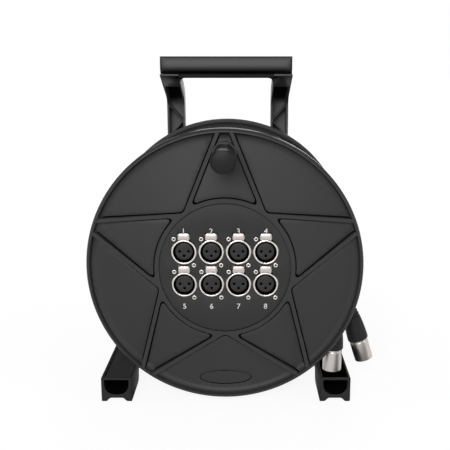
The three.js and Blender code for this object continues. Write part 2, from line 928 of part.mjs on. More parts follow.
const freeRoutes = {
  lead: [
    ...leadOrbits.map(orbit),
    breakoutStart.clone().addScaledVector(breakoutRun, -leadStraight),
    breakoutStart.clone().addScaledVector(breakoutRun, -seatGap),
  ],
  tail_1: tailRoute(-1, frontTailOrbits, frontTailEnd),
  tail_2: tailRoute(1, rearTailOrbits, rearTailEnd),
};

// Each plug hangs in line with the last stretch of its tail
function plugLine(route) {
  const end = route[route.length - 1];
  const run = end.clone().sub(route[route.length - 2]).normalize();
  return { start: end.clone().addScaledVector(run, seatGap), run };
}

function breakoutBoot() {
  const half = breakoutLength / 2;
  const round = breakoutCableRadius / 3;
  return revolve(
    [
      [0, 0],
      [breakoutCableRadius - round, 0],
      [breakoutCableRadius, round],
      [breakoutCableRadius, half],
      [breakoutTailRadius, half + breakoutTailRadius],
      [breakoutTailRadius, breakoutLength - round],
      [breakoutTailRadius - round, breakoutLength],
      [0, breakoutLength],
    ],
    roundFacets,
  );
}

function plugBoot() {
  const profile = [[0, 0], [plugBootTip, 0]];
  const ribPitch = plugBootLength / (2 * plugBootRibs + 1);
  const swell = plugBootRadius - plugBootTip;
  const widen = (y) => plugBootTip + swell * Math.sin((y / plugBootLength) * (Math.PI / 2));
  for (let rib = 0; rib < plugBootRibs; rib += 1) {
    const y = (2 * rib + 1) * ribPitch;
    profile.push([widen(y), y]);
    profile.push([widen(y) - plugBootRibDepth, y + ribPitch / 2]);
    profile.push([widen(y + ribPitch), y + ribPitch]);
  }
  profile.push([plugBootRadius, plugBootLength]);
  profile.push([0, plugBootLength]);
  return revolve(profile, smallFacets);
}

function plugShell() {
  const inner = plugRadius - plugWall;
  return revolve(
    [
      [0, 0],
      [plugRadius, 0],
      [plugRadius, plugLength - plugEdge],
      [plugRadius - plugEdge / 3, plugLength - plugEdge / 3],
      [inner + plugEdge / 4, plugLength],
      [inner, plugLength - plugEdge / 2],
      [inner, plugLength - plugMouth],
      [0, plugLength - plugMouth],
    ],
    shellFacets,
  );
}

// Handle

function gripPlan() {
  const shape = new THREE.Shape();
  const rear = gripFront + gripDepth;
  shape.moveTo(-handleHalfWidth + gripEndRound, gripFront);
  shape.lineTo(handleHalfWidth - gripEndRound, gripFront);
  shape.quadraticCurveTo(handleHalfWidth, gripFront, handleHalfWidth, gripFront + gripEndRound);
  shape.lineTo(handleHalfWidth, rear);
  shape.lineTo(-handleHalfWidth, rear);
  shape.lineTo(-handleHalfWidth, gripFront + gripEndRound);
  shape.quadraticCurveTo(-handleHalfWidth, gripFront, -handleHalfWidth + gripEndRound, gripFront);
  return shape;
}

function gripCover() {
  const rear = gripFront + gripCoverDepth;
  const shape = new THREE.Shape();
  shape.moveTo(rear, gripBottom);
  shape.lineTo(gripFront + gripRound, gripBottom);
  shape.quadraticCurveTo(gripFront, gripBottom, gripFront, gripBottom + gripRound);
  shape.lineTo(gripFront, gripTop - gripRound);
  shape.quadraticCurveTo(gripFront, gripTop, gripFront + gripRound, gripTop);
  shape.lineTo(rear, gripTop);
  const bar = alongX(shape, -handleHalfWidth, handleHalfWidth);
  return bar.intersect(alongZ(gripPlan(), gripBottom - overrun, gripTop + overrun));
}

function gripCore() {
  const front = gripFront + gripCoverDepth + seatGap;
  const rear = gripFront + gripDepth;
  const shape = new THREE.Shape();
  shape.moveTo(front, gripBottom);
  shape.lineTo(rear, gripBottom);
  shape.lineTo(rear, gripTop - gripRound);
  shape.quadraticCurveTo(rear, gripTop, rear - gripRound, gripTop);
  shape.lineTo(front, gripTop);
  const bar = alongX(shape, -handleHalfWidth, handleHalfWidth);
  const half = armInner - seatGap;
  const lipBottom = gripBottom - lipDrop;
  const lip = new THREE.Shape();
  lip.moveTo(-half, gripBottom + seatGap);
  lip.lineTo(-half, lipBottom - lipEndRound);
  lip.quadraticCurveTo(-half, lipBottom, -half + lipEndRound, lipBottom);
  lip.lineTo(half - lipEndRound, lipBottom);
  lip.quadraticCurveTo(half, lipBottom, half, lipBottom - lipEndRound);
  lip.lineTo(half, gripBottom + seatGap);
  return join(bar, alongY(lip, front, rear), alongY(lipNose(half), gripFront + lipSetBack, front));
}

// Front part of the lip, which passes under the cover's lower edge
function lipNose(half) {
  const top = gripBottom - seatGap;
  return polygon([
    [-half, top],
    [-half, gripBottom - lipDrop],
    [half, gripBottom - lipDrop],
    [half, top],
  ]);
}

// Side frames. Everything is made for the right-hand one

const slope = THREE.MathUtils.degToRad(armSlopeAngle);

// Height of the arm's lower edge, or of a line square steps above it
function armLine(y, above = 0) {
  return armTipLower - (y - armTipFront) * Math.tan(slope) + above / Math.cos(slope);
}

function armOutline() {
  const seatTop = gripBottom - seatGap;
  const seatRear = gripFront + gripDepth + seatGap;
  const frontBendY = uprightFront - armBend / 2;
  const frontBendEnd = armLine(uprightFront) - armBend / 2;
  const backBendY = uprightBack - armBend;
  const shape = new THREE.Shape();
  shape.moveTo(armTipFront, seatTop);
  shape.lineTo(armTipFront, armTipLower);
  shape.lineTo(frontBendY, armLine(frontBendY));
  shape.quadraticCurveTo(uprightFront, armLine(uprightFront), uprightFront, frontBendEnd);
  shape.lineTo(uprightFront, kneeHeight);
  shape.lineTo(uprightBack, kneeHeight);
  shape.lineTo(uprightBack, armLine(uprightBack, armDepth) - armBend);
  shape.quadraticCurveTo(uprightBack, armLine(uprightBack, armDepth), backBendY, armLine(backBendY, armDepth));
  shape.lineTo(seatRear, armLine(seatRear, armDepth));
  shape.lineTo(seatRear, seatTop);
  return shape;
}

function armHollow() {
  const inside = armDepth - backWall;
  const back = uprightBack - backWall;
  const backBendY = back - armBend;
  const below = armLine(uprightFront) - armBend;
  const shape = new THREE.Shape();
  shape.moveTo(armMouth, below);
  shape.lineTo(uprightFront - overrun, below);
  shape.lineTo(uprightFront - overrun, kneeHeight);
  shape.lineTo(back, kneeHeight);
  shape.lineTo(back, armLine(back, inside) - armBend);
  shape.quadraticCurveTo(back, armLine(back, inside), backBendY, armLine(backBendY, inside));
  shape.lineTo(armMouth, armLine(armMouth, inside));
  return shape;
}

// Leg edges at a height: straight down to the knee, then splayed out to the foot
function legEdge(z, side, wall = 0) {
  const share = Math.max(0, (kneeHeight - z) / (kneeHeight - legBottom));
  const top = side > 0 ? armOuter : armInner;
  const bottom = footCentre + (side * legFootWidth) / 2;
  return top + (bottom - top) * share - side * wall;
}

function legOutline(inner, outer, top, bottom) {
  const bends = top > kneeHeight ? [kneeHeight] : [];
  const heights = [top, ...bends, bottom];
  const innerEdge = heights.map((z) => [legEdge(z, -1, inner), z]);
  const outerEdge = heights.map((z) => [legEdge(z, 1, outer), z]);
  return polygon([...innerEdge, ...outerEdge.reverse()]);
}

// Zigzag ribs from wall to wall down the channel
function trussRibs() {
  const ribs = [];
  const floor = uprightBack - backWall;
  const bottom = legBottom + tenonHeight;
  const count = Math.floor((trussTop - bottom) / trussStep);
  for (let index = 0; index < count; index += 1) {
    const side = index % 2 === 0 ? 1 : -1;
    const top = trussTop - index * trussStep;
    const low = top - trussStep;
    const half = trussWidth / 2;
    ribs.push(
      alongY(
        polygon([
          [legEdge(top, side, outerWall / 2), top + half],
          [legEdge(low, -side, innerWall / 2), low + half],
          [legEdge(low, -side, innerWall / 2), low - half],
          [legEdge(top, side, outerWall / 2), top - half],
        ]),
        uprightFront + trussSetBack,
        floor + backWall / 2,
      ),
    );
  }
  return ribs;
}

function boltHole(x, z, radius) {
  return disc(radius, uprightBack - boltLength - overrun, uprightBack + overrun * 2, smallFacets)
    .translate([x, 0, z]);
}

const carrierBoltPlaces = [carrierArmRise, -carrierArmRise].map((z) => [
  legEdge(z, -1) + earLength / 2,
  z,
]);

function sideFrame() {
  const top = armLine(uprightFront) - armBend;
  const arm = alongX(armOutline(), armInner, armOuter);
  const leg = alongY(legOutline(0, 0, top, legBottom), uprightFront, uprightBack);
  const hollowLeg = alongY(
    legOutline(innerWall, outerWall, top + overrun, legBottom - overrun),
    uprightFront - overrun,
    uprightBack - backWall,
  );
  const hollowArm = alongX(armHollow(), armInner + innerWall, armOuter - outerWall);
  const shell = cut(join(arm, leg), hollowLeg, hollowArm);
  const holes = carrierBoltPlaces.map(([x, z]) => boltHole(x, z, boltRadius + seatGap));
  return cut(join(shell, ...trussRibs()), ...holes);
}

// Feet. Drawn from the side in Y and Z, and hollowed from the front, top and underside

function footOutline() {
  const padRear = footFront + padLength;
  const rearPadFront = footEnd - rearPadLength;
  const arch = ground + archHeight;
  const shape = new THREE.Shape();
  shape.moveTo(footFront, footTop);
  shape.lineTo(footFront, ground + footEdge);
  shape.lineTo(footFront + footEdge, ground);
  shape.lineTo(padRear, ground);
  shape.quadraticCurveTo(padRear + padRound, ground, padRear + padRound, ground + padRound);
  shape.quadraticCurveTo(padRear + padRound, arch, padRear + 2 * padRound, arch);
  shape.lineTo(rearPadFront - 2 * padRound, arch);
  shape.quadraticCurveTo(rearPadFront - padRound, arch, rearPadFront - padRound, ground + padRound);
  shape.quadraticCurveTo(rearPadFront - padRound, ground, rearPadFront, ground);
  shape.lineTo(footEnd - footEdge, ground);
  shape.lineTo(footEnd, ground + footEdge);
  shape.lineTo(footEnd, footTop);
  return shape;
}

function foot() {
  const half = footWidth / 2;
  const body = alongX(footOutline(), footCentre - half, footCentre + half);
  const tunnelTop = footTop - tunnelRoof;
  const tunnelSide = tunnelWidth / 2;
  const tunnelKnee = tunnelTop - tunnelHeight / 4;
  const tunnel = new THREE.Shape();
  tunnel.moveTo(footCentre - tunnelSide, tunnelTop);
  tunnel.lineTo(footCentre - tunnelSide, tunnelKnee);
  tunnel.quadraticCurveTo(
    footCentre - tunnelSide,
    tunnelTop - tunnelHeight,
    footCentre,
    tunnelTop - tunnelHeight,
  );
  tunnel.quadraticCurveTo(
    footCentre + tunnelSide,
    tunnelTop - tunnelHeight,
    footCentre + tunnelSide,
    tunnelKnee,
  );
  tunnel.lineTo(footCentre + tunnelSide, tunnelTop);
  const notchSide = notchWidth / 2;
  const archway = new THREE.Shape();
  archway.moveTo(footCentre - notchSide, ground - overrun);
  archway.lineTo(footCentre - notchSide, ground);
  archway.quadraticCurveTo(
    footCentre - notchSide * 0.75,
    ground + notchHeight,
    footCentre - notchSide / 2,
    ground + notchHeight,
  );
  archway.lineTo(footCentre + notchSide / 2, ground + notchHeight);
  archway.quadraticCurveTo(
    footCentre + notchSide * 0.75,
    ground + notchHeight,
    footCentre + notchSide,
    ground,
  );
  archway.lineTo(footCentre + notchSide, ground - overrun);
  const tray = block(
    footCentre - trayWidth / 2,
    footCentre + trayWidth / 2,
    trayStart,
    trayEnd,
    footTop - trayDepth,
    footTop + overrun,
  );
  const tenon = alongY(
    legOutline(
      innerWall + tenonClearance,
      outerWall + tenonClearance,
      footTop + tenonHeight - tenonClearance,
      footTop - overrun,
    ),
    uprightFront + seatGap,
    uprightBack - backWall - seatGap,
  );
  return join(
    cut(
      body,
      alongY(tunnel, footFront - overrun, footFront + tunnelDepth),
      alongY(archway, footFront - overrun, footEnd + overrun),
      tray,
    ),
    tenon,
  );
}

// Hub carrier: a boss for the axle on four hollow arms, each with an ear behind its leg

function carrierArm(z) {
  const length = Math.hypot(legEdge(z, -1), z);
  const angle = Math.atan2(z, legEdge(z, -1));
  const half = carrierArmWidth / 2;
  const rear = uprightBack;
  const bar = block(0, length + carrierArmWidth, rear - carrierDepth, rear, -half, half);
  const inside = block(
    hubBossRadius + carrierArmWall,
    length - carrierArmWidth,
    rear - carrierDepth - overrun,
    rear - carrierArmWall,
    -half + carrierArmWall,
    half - carrierArmWall,
  );
  const turnedBar = toGeometry(cut(bar, inside)).rotateY(-angle);
  return toSolid(turnedBar);
}

// Everything to the right of the drum's middle that lies clear inside the leg
function insideLegs(top, bottom) {
  return alongY(
    polygon([
      [-legEdge(top, -1, -seatGap), top],
      [-legEdge(kneeHeight, -1, -seatGap), kneeHeight],
      [-legEdge(bottom, -1, -seatGap), bottom],
      [legEdge(bottom, -1, -seatGap), bottom],
      [legEdge(kneeHeight, -1, -seatGap), kneeHeight],
      [legEdge(top, -1, -seatGap), top],
    ]),
    0,
    axleRear,
  );
}

function ear(x, z) {
  const half = earLength / 2;
  const inner = legEdge(z, -1) - earLength;
  return alongY(
    roundedRectangle(inner, x + half, z - half, z + half, earThickness),
    uprightBack + seatGap,
    uprightBack + seatGap + earThickness,
    cornerFacets,
  );
}

function mirrored(solid) {
  return toSolid(toGeometry(solid).scale(-1, 1, 1));
}

function hubCarrier() {
  const rear = uprightBack;
  const arms = join(carrierArm(carrierArmRise), carrierArm(-carrierArmRise));
  const bossFront = drumWidth - starFace + thrustGap;
  const boss = disc(hubBossRadius, rear - carrierDepth, rear, shellFacets);
  const nose = disc(hubBossRadius / 2, bossFront, rear - carrierDepth + overrun, roundFacets);
  const clearRise = carrierArmRise + carrierArmWidth;
  const web = join(arms, mirrored(arms)).intersect(insideLegs(clearRise, -clearRise));
  const ears = carrierBoltPlaces.map(([x, z]) => join(ear(x, z), earRoot(z)));
  const body = join(web, boss, nose, ...ears, ...ears.map(mirrored));
  const bore = disc(axleRadius + seatGap, bossFront - overrun, rear + overrun, roundFacets);
  const holes = carrierBoltPlaces.flatMap(([x, z]) => [
    boltHole(x, z, boltRadius + seatGap),
    boltHole(-x, z, boltRadius + seatGap),
  ]);
  return cut(body, bore, ...holes);
}

// Block that ties an ear to the arm before it
function earRoot(z) {
  const half = earLength / 2;
  const outer = legEdge(z, -1) - earThickness;
  return block(
    outer - earLength / 2,
    outer,
    uprightBack - earThickness,
    uprightBack + seatGap + earThickness,
    z - half,
    z + half,
  );
}

function crossBar() {
  const top = -crossBarDrop + crossBarHeight / 2;
  const bottom = -crossBarDrop - crossBarHeight / 2;
  const front = uprightBack - carrierDepth;
  const reach = footCentre;
  const bar = block(-reach, reach, front, uprightBack, bottom, top);
  const inside = block(
    -reach,
    reach,
    front - overrun,
    uprightBack - carrierArmWall,
    bottom + carrierArmWall,
    top - carrierArmWall,
  );
  const ends = [-1, 1].map((side) => {
    const x = side * (legEdge(top, -1) - carrierArmWall);
    return block(x - carrierArmWall, x + carrierArmWall, front, uprightBack, bottom, top);
  });
  return join(cut(bar, inside), ...ends).intersect(insideLegs(kneeHeight + overrun, legBottom));
}

// Inner wiring: a trunk from the gland in the barrel, which splits to the eight sockets

const branchEnd = starFace - shellProud + shellLength + seatGap;

function glandHole() {
  return upright(disc(glandRadius + seatGap, 0, barrelRadius * 2, smallFacets));
}

// A piece made along +Y from the drum's axis, turned to point straight down at the gland
function upright(solid) {
  const geometry = toGeometry(solid).rotateX(-Math.PI / 2);
  geometry.translate(0, glandY, 0);
  return toSolid(geometry);
}

function cableGland() {
  const inner = barrelInner - seatGap;
  return upright(
    revolve(
      [
        [trunkRadius + 2 * seatGap, inner - glandLip],
        [glandRadius + glandLip, inner - glandLip],
        [glandRadius + glandLip, inner - glandLip / 2],
        [glandRadius, inner - glandLip / 2],
        [glandRadius, barrelRadius - glandLip / 2],
        [trunkRadius + 2 * seatGap, barrelRadius - glandLip / 2],
      ],
      smallFacets,
    ),
  );
}

function wiringLoom() {
  const split = new THREE.Vector3(0, splitY, 0);
  const trunk = tube(
    [
      new THREE.Vector3(0, glandY, glandLip / 2 - barrelRadius),
      new THREE.Vector3(0, glandY, 3 * glandLip - barrelRadius),
      new THREE.Vector3(0, glandY, -barrelRadius / 2),
      new THREE.Vector3(0, splitY, -trunkRadius),
      split,
    ],
    trunkRadius,
  );
  const fittedPlaces = socketPlaces.map(([x, z]) => [x * socketFitShare, z * socketFitShare]);
  const branches = fittedPlaces.map(([x, z]) =>
    tube(
      [
        split,
        new THREE.Vector3(x / 2, (splitY + branchEnd) / 2, z / 2),
        new THREE.Vector3(x, branchEnd + 2 * branchRadius, z),
        new THREE.Vector3(x, branchEnd, z),
      ],
      branchRadius,
      branchFacets,
    ),
  );
  const knot = toSolid(new THREE.SphereGeometry(trunkRadius * 1.5, tubeSides, tubeSides / 2))
    .translate([0, splitY, 0]);
  return join(trunk, knot, ...branches);
}

function coreBarrel() {
  const body = ring(
    barrelInner,
    barrelRadius,
    hubBack + seatGap,
    drumWidth - hubBack - seatGap,
    barrelFacets,
  );
  return cut(body, glandHole());
}

// The assembly

const assembly = new THREE.Group();
const frame = new THREE.Group();
const drum = new THREE.Group();
const knob = new THREE.Group();
const cord = new THREE.Group();
assembly.add(frame, drum, cord);
drum.add(knob);
assembly.position.set(0, (knobReach - axleRear) / 2, axisHeight);

function add(group, name, solid, finish) {
  const material = new THREE.MeshStandardMaterial(finishes[finish]);
  const mesh = new THREE.Mesh(toGeometry(solid), material);
  mesh.name = name;
  group.add(mesh);
  return mesh;
}

// Stand
const rightFrame = sideFrame();
const rightFoot = foot();
add(frame, 'side_frame_right', rightFrame, 'blackPlastic');
add(frame, 'side_frame_left', mirrored(rightFrame), 'blackPlastic');
add(frame, 'foot_right', rightFoot, 'blackPlastic');
add(frame, 'foot_left', mirrored(rightFoot), 'blackPlastic');
add(frame, 'grip_cover', gripCover(), 'blackPlastic');
add(frame, 'grip_core', gripCore(), 'blackPlastic');
add(frame, 'hub_carrier', hubCarrier(), 'blackPlastic');
add(frame, 'cross_bar', crossBar(), 'blackPlastic');
add(frame, 'axle', disc(axleRadius, axleFront, axleRear, roundFacets), 'steel');
const clipFace = drumWidth - sleeveLength - thrustGap;
add(
  frame,
  'axle_clip',
  ring(axleRadius + seatGap, axleRadius + axleClipWidth, clipFace - axleClipThickness, clipFace, roundFacets),
  'steel',
);
add(frame, 'axle_nut', nut(nutRadius, nutFront, nutFront + nutThickness, axleRadius + seatGap), 'steel');
const boltFace = uprightBack + 2 * seatGap + earThickness;
const boltNames = ['upper', 'lower'];
carrierBoltPlaces.forEach(([x, z], index) => {
  for (const [side, sign] of [['right', 1], ['left', -1]]) {
    const place = [sign * x, boltFace, z];
    add(frame, `carrier_bolt_${boltNames[index]}_${side}`, bolt().translate(place), 'steel');
  }
});

// Drum
add(drum, 'front_flange', frontFlange(), 'blackPlastic');
add(drum, 'rear_flange', rearFlange(), 'blackPlastic');
add(drum, 'core_barrel', coreBarrel(), 'blackPlastic');
add(drum, 'connector_plate', connectorPlate(), 'platePaint');
const sleeveFront = drumWidth - sleeveLength;
const sleeveRear = drumWidth - starFace;
const bush = (y0, y1) => ring(axleRadius + turningGap, bushOuter, y0, y1, roundFacets);
add(drum, 'bush_front', bush(sleeveFront, sleeveFront + bushLength), 'bushPlastic');
add(drum, 'bush_rear', bush(sleeveRear - bushLength, sleeveRear), 'bushPlastic');
add(drum, 'cable_gland', cableGland(), 'darkPlastic');
add(drum, 'wiring_loom', wiringLoom(), 'cable');
add(drum, 'knob_pin', knobPin().translate([0, 0, knobHeight]), 'steel');
socketPlaces.forEach(([x, z], index) => {
  const place = [x, 0, z];
  add(drum, `socket_shell_${index + 1}`, fitted(socketShell().translate(place)), 'nickel');
  add(drum, `socket_insert_${index + 1}`, fitted(socketInsert().translate(place)), 'insertPlastic');
  add(drum, `socket_latch_${index + 1}`, fitted(socketLatch().translate(place)), 'nickel');
});
add(knob, 'crank_knob', crankKnob().translate([0, 0, knobHeight]), 'blackPlastic');

// Cable
add(drum, 'cable_inner_layers', innerLayers(), 'cable');
add(drum, 'cable_winding', sweep(windingLine, multicoreRadius, turnSides), 'cable');
add(cord, 'cable_lead', tube(freeRoutes.lead, multicoreRadius), 'cable');
add(cord, 'cable_breakout', laid(breakoutBoot(), breakoutStart, breakoutRun), 'rubber');
for (const index of [1, 2]) {
  const route = freeRoutes[`tail_${index}`];
  const { start, run } = plugLine(route);
  const shellStart = start.clone().addScaledVector(run, plugBootLength + seatGap);
  add(cord, `cable_tail_${index}`, tube(route, tailRadius), 'cable');
  add(cord, `plug_boot_${index}`, laid(plugBoot(), start, run), 'rubber');
  add(cord, `plug_shell_${index}`, laid(plugShell(), shellStart, run), 'nickel');
}

export default assembly;
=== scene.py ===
# Looks for the stage multicore on its carry drum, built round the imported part.
# The part's frame is in metres; sizes in the dictionaries below are in millimetres.
import json
import math

import bmesh
import bpy
from mathutils import Matrix, Vector
from mathutils.geometry import delaunay_2d_cdt


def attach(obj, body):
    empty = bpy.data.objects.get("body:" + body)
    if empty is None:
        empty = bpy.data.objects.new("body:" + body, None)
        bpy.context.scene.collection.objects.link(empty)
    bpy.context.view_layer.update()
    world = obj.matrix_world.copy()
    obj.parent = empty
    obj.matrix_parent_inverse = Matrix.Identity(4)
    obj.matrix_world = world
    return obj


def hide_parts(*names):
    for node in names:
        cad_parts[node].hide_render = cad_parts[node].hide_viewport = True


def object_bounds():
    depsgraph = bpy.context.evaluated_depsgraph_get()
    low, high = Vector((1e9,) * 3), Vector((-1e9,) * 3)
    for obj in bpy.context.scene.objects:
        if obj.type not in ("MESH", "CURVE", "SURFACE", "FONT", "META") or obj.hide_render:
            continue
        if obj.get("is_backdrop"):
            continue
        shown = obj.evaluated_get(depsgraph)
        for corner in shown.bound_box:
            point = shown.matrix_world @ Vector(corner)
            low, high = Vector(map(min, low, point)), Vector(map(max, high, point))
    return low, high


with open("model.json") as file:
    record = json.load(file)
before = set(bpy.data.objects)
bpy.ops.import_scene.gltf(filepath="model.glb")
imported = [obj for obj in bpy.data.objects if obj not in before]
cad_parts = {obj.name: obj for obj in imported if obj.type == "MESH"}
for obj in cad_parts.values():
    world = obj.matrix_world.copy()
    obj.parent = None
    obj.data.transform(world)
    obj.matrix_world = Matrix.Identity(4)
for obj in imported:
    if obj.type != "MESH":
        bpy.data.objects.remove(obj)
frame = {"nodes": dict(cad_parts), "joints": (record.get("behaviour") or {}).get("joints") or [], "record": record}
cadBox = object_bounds()
mm = 0.001
fullTurn = 2 * math.pi
joints = {joint["name"]: joint for joint in frame["joints"]}
bodyOf = {node: body for body, nodes in frame["record"]["behaviour"]["bodies"].items() for node in nodes}
slotOf = {row["node"]: row["material_slot"] for row in frame["record"]["subparts"]}

# The drum's axis where it crosses the front rim's plane: every size below counts from here
axisPoint = Vector(joints["drum_spin"]["pos_m"])


def place(x, y, z):
    return axisPoint + Vector((x, y, z)) * mm


def orbit(radius, degrees, y):
    angle = math.radians(degrees)
    return (radius * math.cos(angle), y, radius * math.sin(angle))


# Sets a new object with this data in the scene
def added(name, data):
    made = bpy.data.objects.new(name, data)
    bpy.context.scene.collection.objects.link(made)
    return made


# The carrier's shape with its modifiers worked in, as a plain mesh. The carrier goes
def baked(carrier):
    mesh = bpy.data.meshes.new_from_object(carrier.evaluated_get(bpy.context.evaluated_depsgraph_get()))
    for modifier in carrier.modifiers[:]:
        carrier.modifiers.remove(modifier)
    bpy.data.objects.remove(carrier)
    return mesh


# Camera

cameraSetup = {
    "at": (17.3, -686.0, 188.7),
    "pitchDown": 11.955,
    "lens": 58.44,
    "sensor": 36,
    "shiftX": -0.0393,
}

cameraData = bpy.data.cameras.new("viewCamera")
cameraData.lens = cameraSetup["lens"]
cameraData.sensor_width = cameraSetup["sensor"]
cameraData.shift_x = cameraSetup["shiftX"]
camera = added("viewCamera", cameraData)
camera.location = place(*cameraSetup["at"])
camera.rotation_euler = (math.radians(90 - cameraSetup["pitchDown"]), 0, 0)
bpy.context.scene.camera = camera
print("camera set")


# Helpers for meshes


# Sets a piece on its body, with its materials and the CAD nodes that it stands for
def link(name, mesh, body, slot=None, looks=(), stands=()):
    # A curve that gets its material after it is in the scene measures a wrong box
    for finish in looks:
        mesh.materials.append(look[finish])
    piece = added(name, mesh)
    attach(piece, body)
    if stands:
        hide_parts(*stands)
    return piece


def smooth(mesh, degrees):
    mesh.polygons.foreach_set("use_smooth", [True] * len(mesh.polygons))
    mesh.set_sharp_from_angle(angle=math.radians(degrees))


def asMesh(name, build):
    mesh = bpy.data.meshes.new(name)
    build.to_mesh(mesh)
    build.free()
    return mesh


def toMesh(name, build, degrees):
    bmesh.ops.recalc_face_normals(build, faces=build.faces[:])
    mesh = asMesh(name, build)
    smooth(mesh, degrees)
    return mesh


def addBox(build, size, middle):
    corners = bmesh.ops.create_cube(build, size=1)["verts"]
    shape = Matrix.Diagonal((*[side * mm for side in size], 1))
    bmesh.ops.transform(build, matrix=shape, verts=corners)
    bmesh.ops.translate(build, verts=corners, vec=place(*middle))


# Faces between two closed rings of vertices, either of which may be a single point
def band(build, before, after, material=0):
    faces = []
    for step in range(max(len(before), len(after))):
        corners = []
        for ring, picks in ((before, (step, step + 1)), (after, (step + 1, step))):
            corners += ring if len(ring) == 1 else [ring[pick % len(ring)] for pick in picks]
        if len(corners) > 2:
            faces.append(build.faces.new(corners))
            faces[-1].material_index = material
    return faces


def lineOf(first, last, steps):
    return [first.lerp(last, step / steps) for step in range(steps)]


def arcOf(radius, start, stop, steps):
    turn = [start + (stop - start) * step / steps for step in range(steps)]
    return [Vector((radius * math.cos(angle), radius * math.sin(angle))) for angle in turn]


def circleOf(radius, steps, middle=(0, 0)):
    return [point + Vector(middle) for point in arcOf(radius, 0, fullTurn, steps)]


def bendOf(first, corner, last, steps):
    share = [step / steps for step in range(steps)]
    return [first * (1 - t) ** 2 + corner * (2 * t * (1 - t)) + last * t**2 for t in share]


def angleOf(point):
    return math.atan2(point.y, point.x)


def nextPairs(ring):
    return zip(ring, ring[1:] + ring[:1])


def area(outline):
    return sum(a.x * b.y - b.x * a.y for a, b in nextPairs(outline))


def holds(outline, point):
    inside = False
    for a, b in nextPairs(outline):
        if (a.y > point.y) != (b.y > point.y):
            if point.x < a.x + (point.y - a.y) * (b.x - a.x) / (b.y - a.y):
                inside = not inside
    return inside


# Adds a closed line to the points and edges of a triangulation
def addLoop(points, edges, loop):
    first, count = len(points), len(loop)
    points += loop
    edges += [(first + here, first + (here + 1) % count) for here in range(count)]


# Spots, where each came from, and every triangle with its middle; kind 1 leaves out what lies outside
def triangulated(points, edges, kind=0):
    spots, _, triangles, origins, _, _ = delaunay_2d_cdt(points, edges, [], kind, 1e-6)
    middles = [sum((spots[index] for index in triangle), Vector((0, 0))) / 3 for triangle in triangles]
    return spots, origins, list(zip(triangles, middles))


# A profile of (radius, distance) pairs turned about a line; a radius of 0 closes it
def lathe(build, profile, start, run, facets, material=0):
    run = Vector(run).normalized()
    side = run.orthogonal().normalized()
    third = run.cross(side)
    before = None
    for radius, along in profile:
        centre = Vector(start) + run * (along * mm)
        spokes = [side * turn.x + third * turn.y for turn in circleOf(1, facets)] if radius else [side]
        ring = [build.verts.new(centre + spoke * (radius * mm)) for spoke in spokes]
        if before:
            band(build, before, ring, material)
        before = ring


# Rounds a profile's corners: each (radius, distance, rounding) gets an arc of a few points
def rounded(corners, steps=4):
    points = []
    for index, (radius, along, size) in enumerate(corners):
        here = Vector((radius, along))
        if size == 0 or index in (0, len(corners) - 1):
            points.append((radius, along))
            continue
        before = Vector(corners[index - 1][:2]) - here
        after = Vector(corners[index + 1][:2]) - here
        reach = min(size, before.length / 2, after.length / 2)
        last = here + after.normalized() * reach
        arc = bendOf(here + before.normalized() * reach, here, last, steps)
        points += [tuple(spot) for spot in arc + [last]]
    return points


softening = {"merge": 0.00001, "flat": 0.6, "sharp": 32, "segments": 2, "shade": 40}


# A merged copy of a CAD node with its edges rounded off, which stands for the node
def softened(node, width, looks):
    build = bmesh.new()
    build.from_mesh(frame["nodes"][node].data)
    bmesh.ops.remove_doubles(build, verts=build.verts[:], dist=softening["merge"])
    flat = math.radians(softening["flat"])
    bmesh.ops.dissolve_limit(build, angle_limit=flat, verts=build.verts[:], edges=build.edges[:])
    bmesh.ops.recalc_face_normals(build, faces=build.faces[:])
    carrier = added("carrier", asMesh(node + "_finished", build))
    bevel = carrier.modifiers.new("edges", "BEVEL")
    bevel.width = width * mm
    bevel.segments = softening["segments"]
    bevel.limit_method = "ANGLE"
    bevel.angle_limit = math.radians(softening["sharp"])
    bevel.use_clamp_overlap = False
    bevel.miter_outer = "MITER_ARC"
    finished = baked(carrier)
    finished.materials.clear()
    smooth(finished, softening["shade"])
    return link(node + "_finished", finished, bodyOf[node], slotOf[node], looks, [node])


# Cables come first: their routes are the part's own

cableSizes = {
    "multicore": 5.25,
    "tail": 3.0,
    "turns": 9,
    "turnPitch": 11.2,
    "windingRadius": 104.5,
    "windingStart": 18.5,
    "diveShare": 0.16,
    "diveDepth": 14,
    "diveSlopeShare": 0.5,
    "cadSteps": 24,
    "finerSteps": 3,
    "leadStraight": 12,
    "tailStraight": 8,
    "sectionSteps": 5,
    "lengthSteps": 6,
}

breakout = {"length": 50, "angle": 50, "orbit": 122, "y": 80, "tailSpacing": 11, "seatGap": 0.3}

# Routes: (radius, degrees, y) round the drum's axis, then (x, y, z) down to the plugs
leadOrbits = [
    (70.3, 176, 134),
    (74.5, 176, 134),
    (82, 174.2, 134),
    (92, 170.2, 134),
    (103, 163.6, 134),
    (111.5, 155.6, 133.6),
    (116.4, 146, 132),
    (117.2, 136, 128),
    (117, 126, 121),
    (117, 116, 112.5),
    (117.2, 106, 103.5),
    (117.8, 96, 94.5),
    (119.2, 87, 87),
    (121.6, 78, 82),
]
frontTailOrbits = [(122.6, 28, 70), (119, 19, 62), (116.8, 10, 52), (116, 1, 41), (115.6, -7, 32.5)]
rearTailOrbits = [(122.2, 28, 83), (118.6, 19, 77), (116.8, 10, 69), (116.6, 1, 60), (117.3, -7, 54)]
frontTailEnd = [(112.9, 26.8, -26), (110.5, 25.1, -35), (110.4, 25, -43.9)]
rearTailEnd = [(118.7, 51.2, -24.5), (121, 50.2, -30.2), (123.6, 50, -37.4), (126.1, 50, -45.46)]

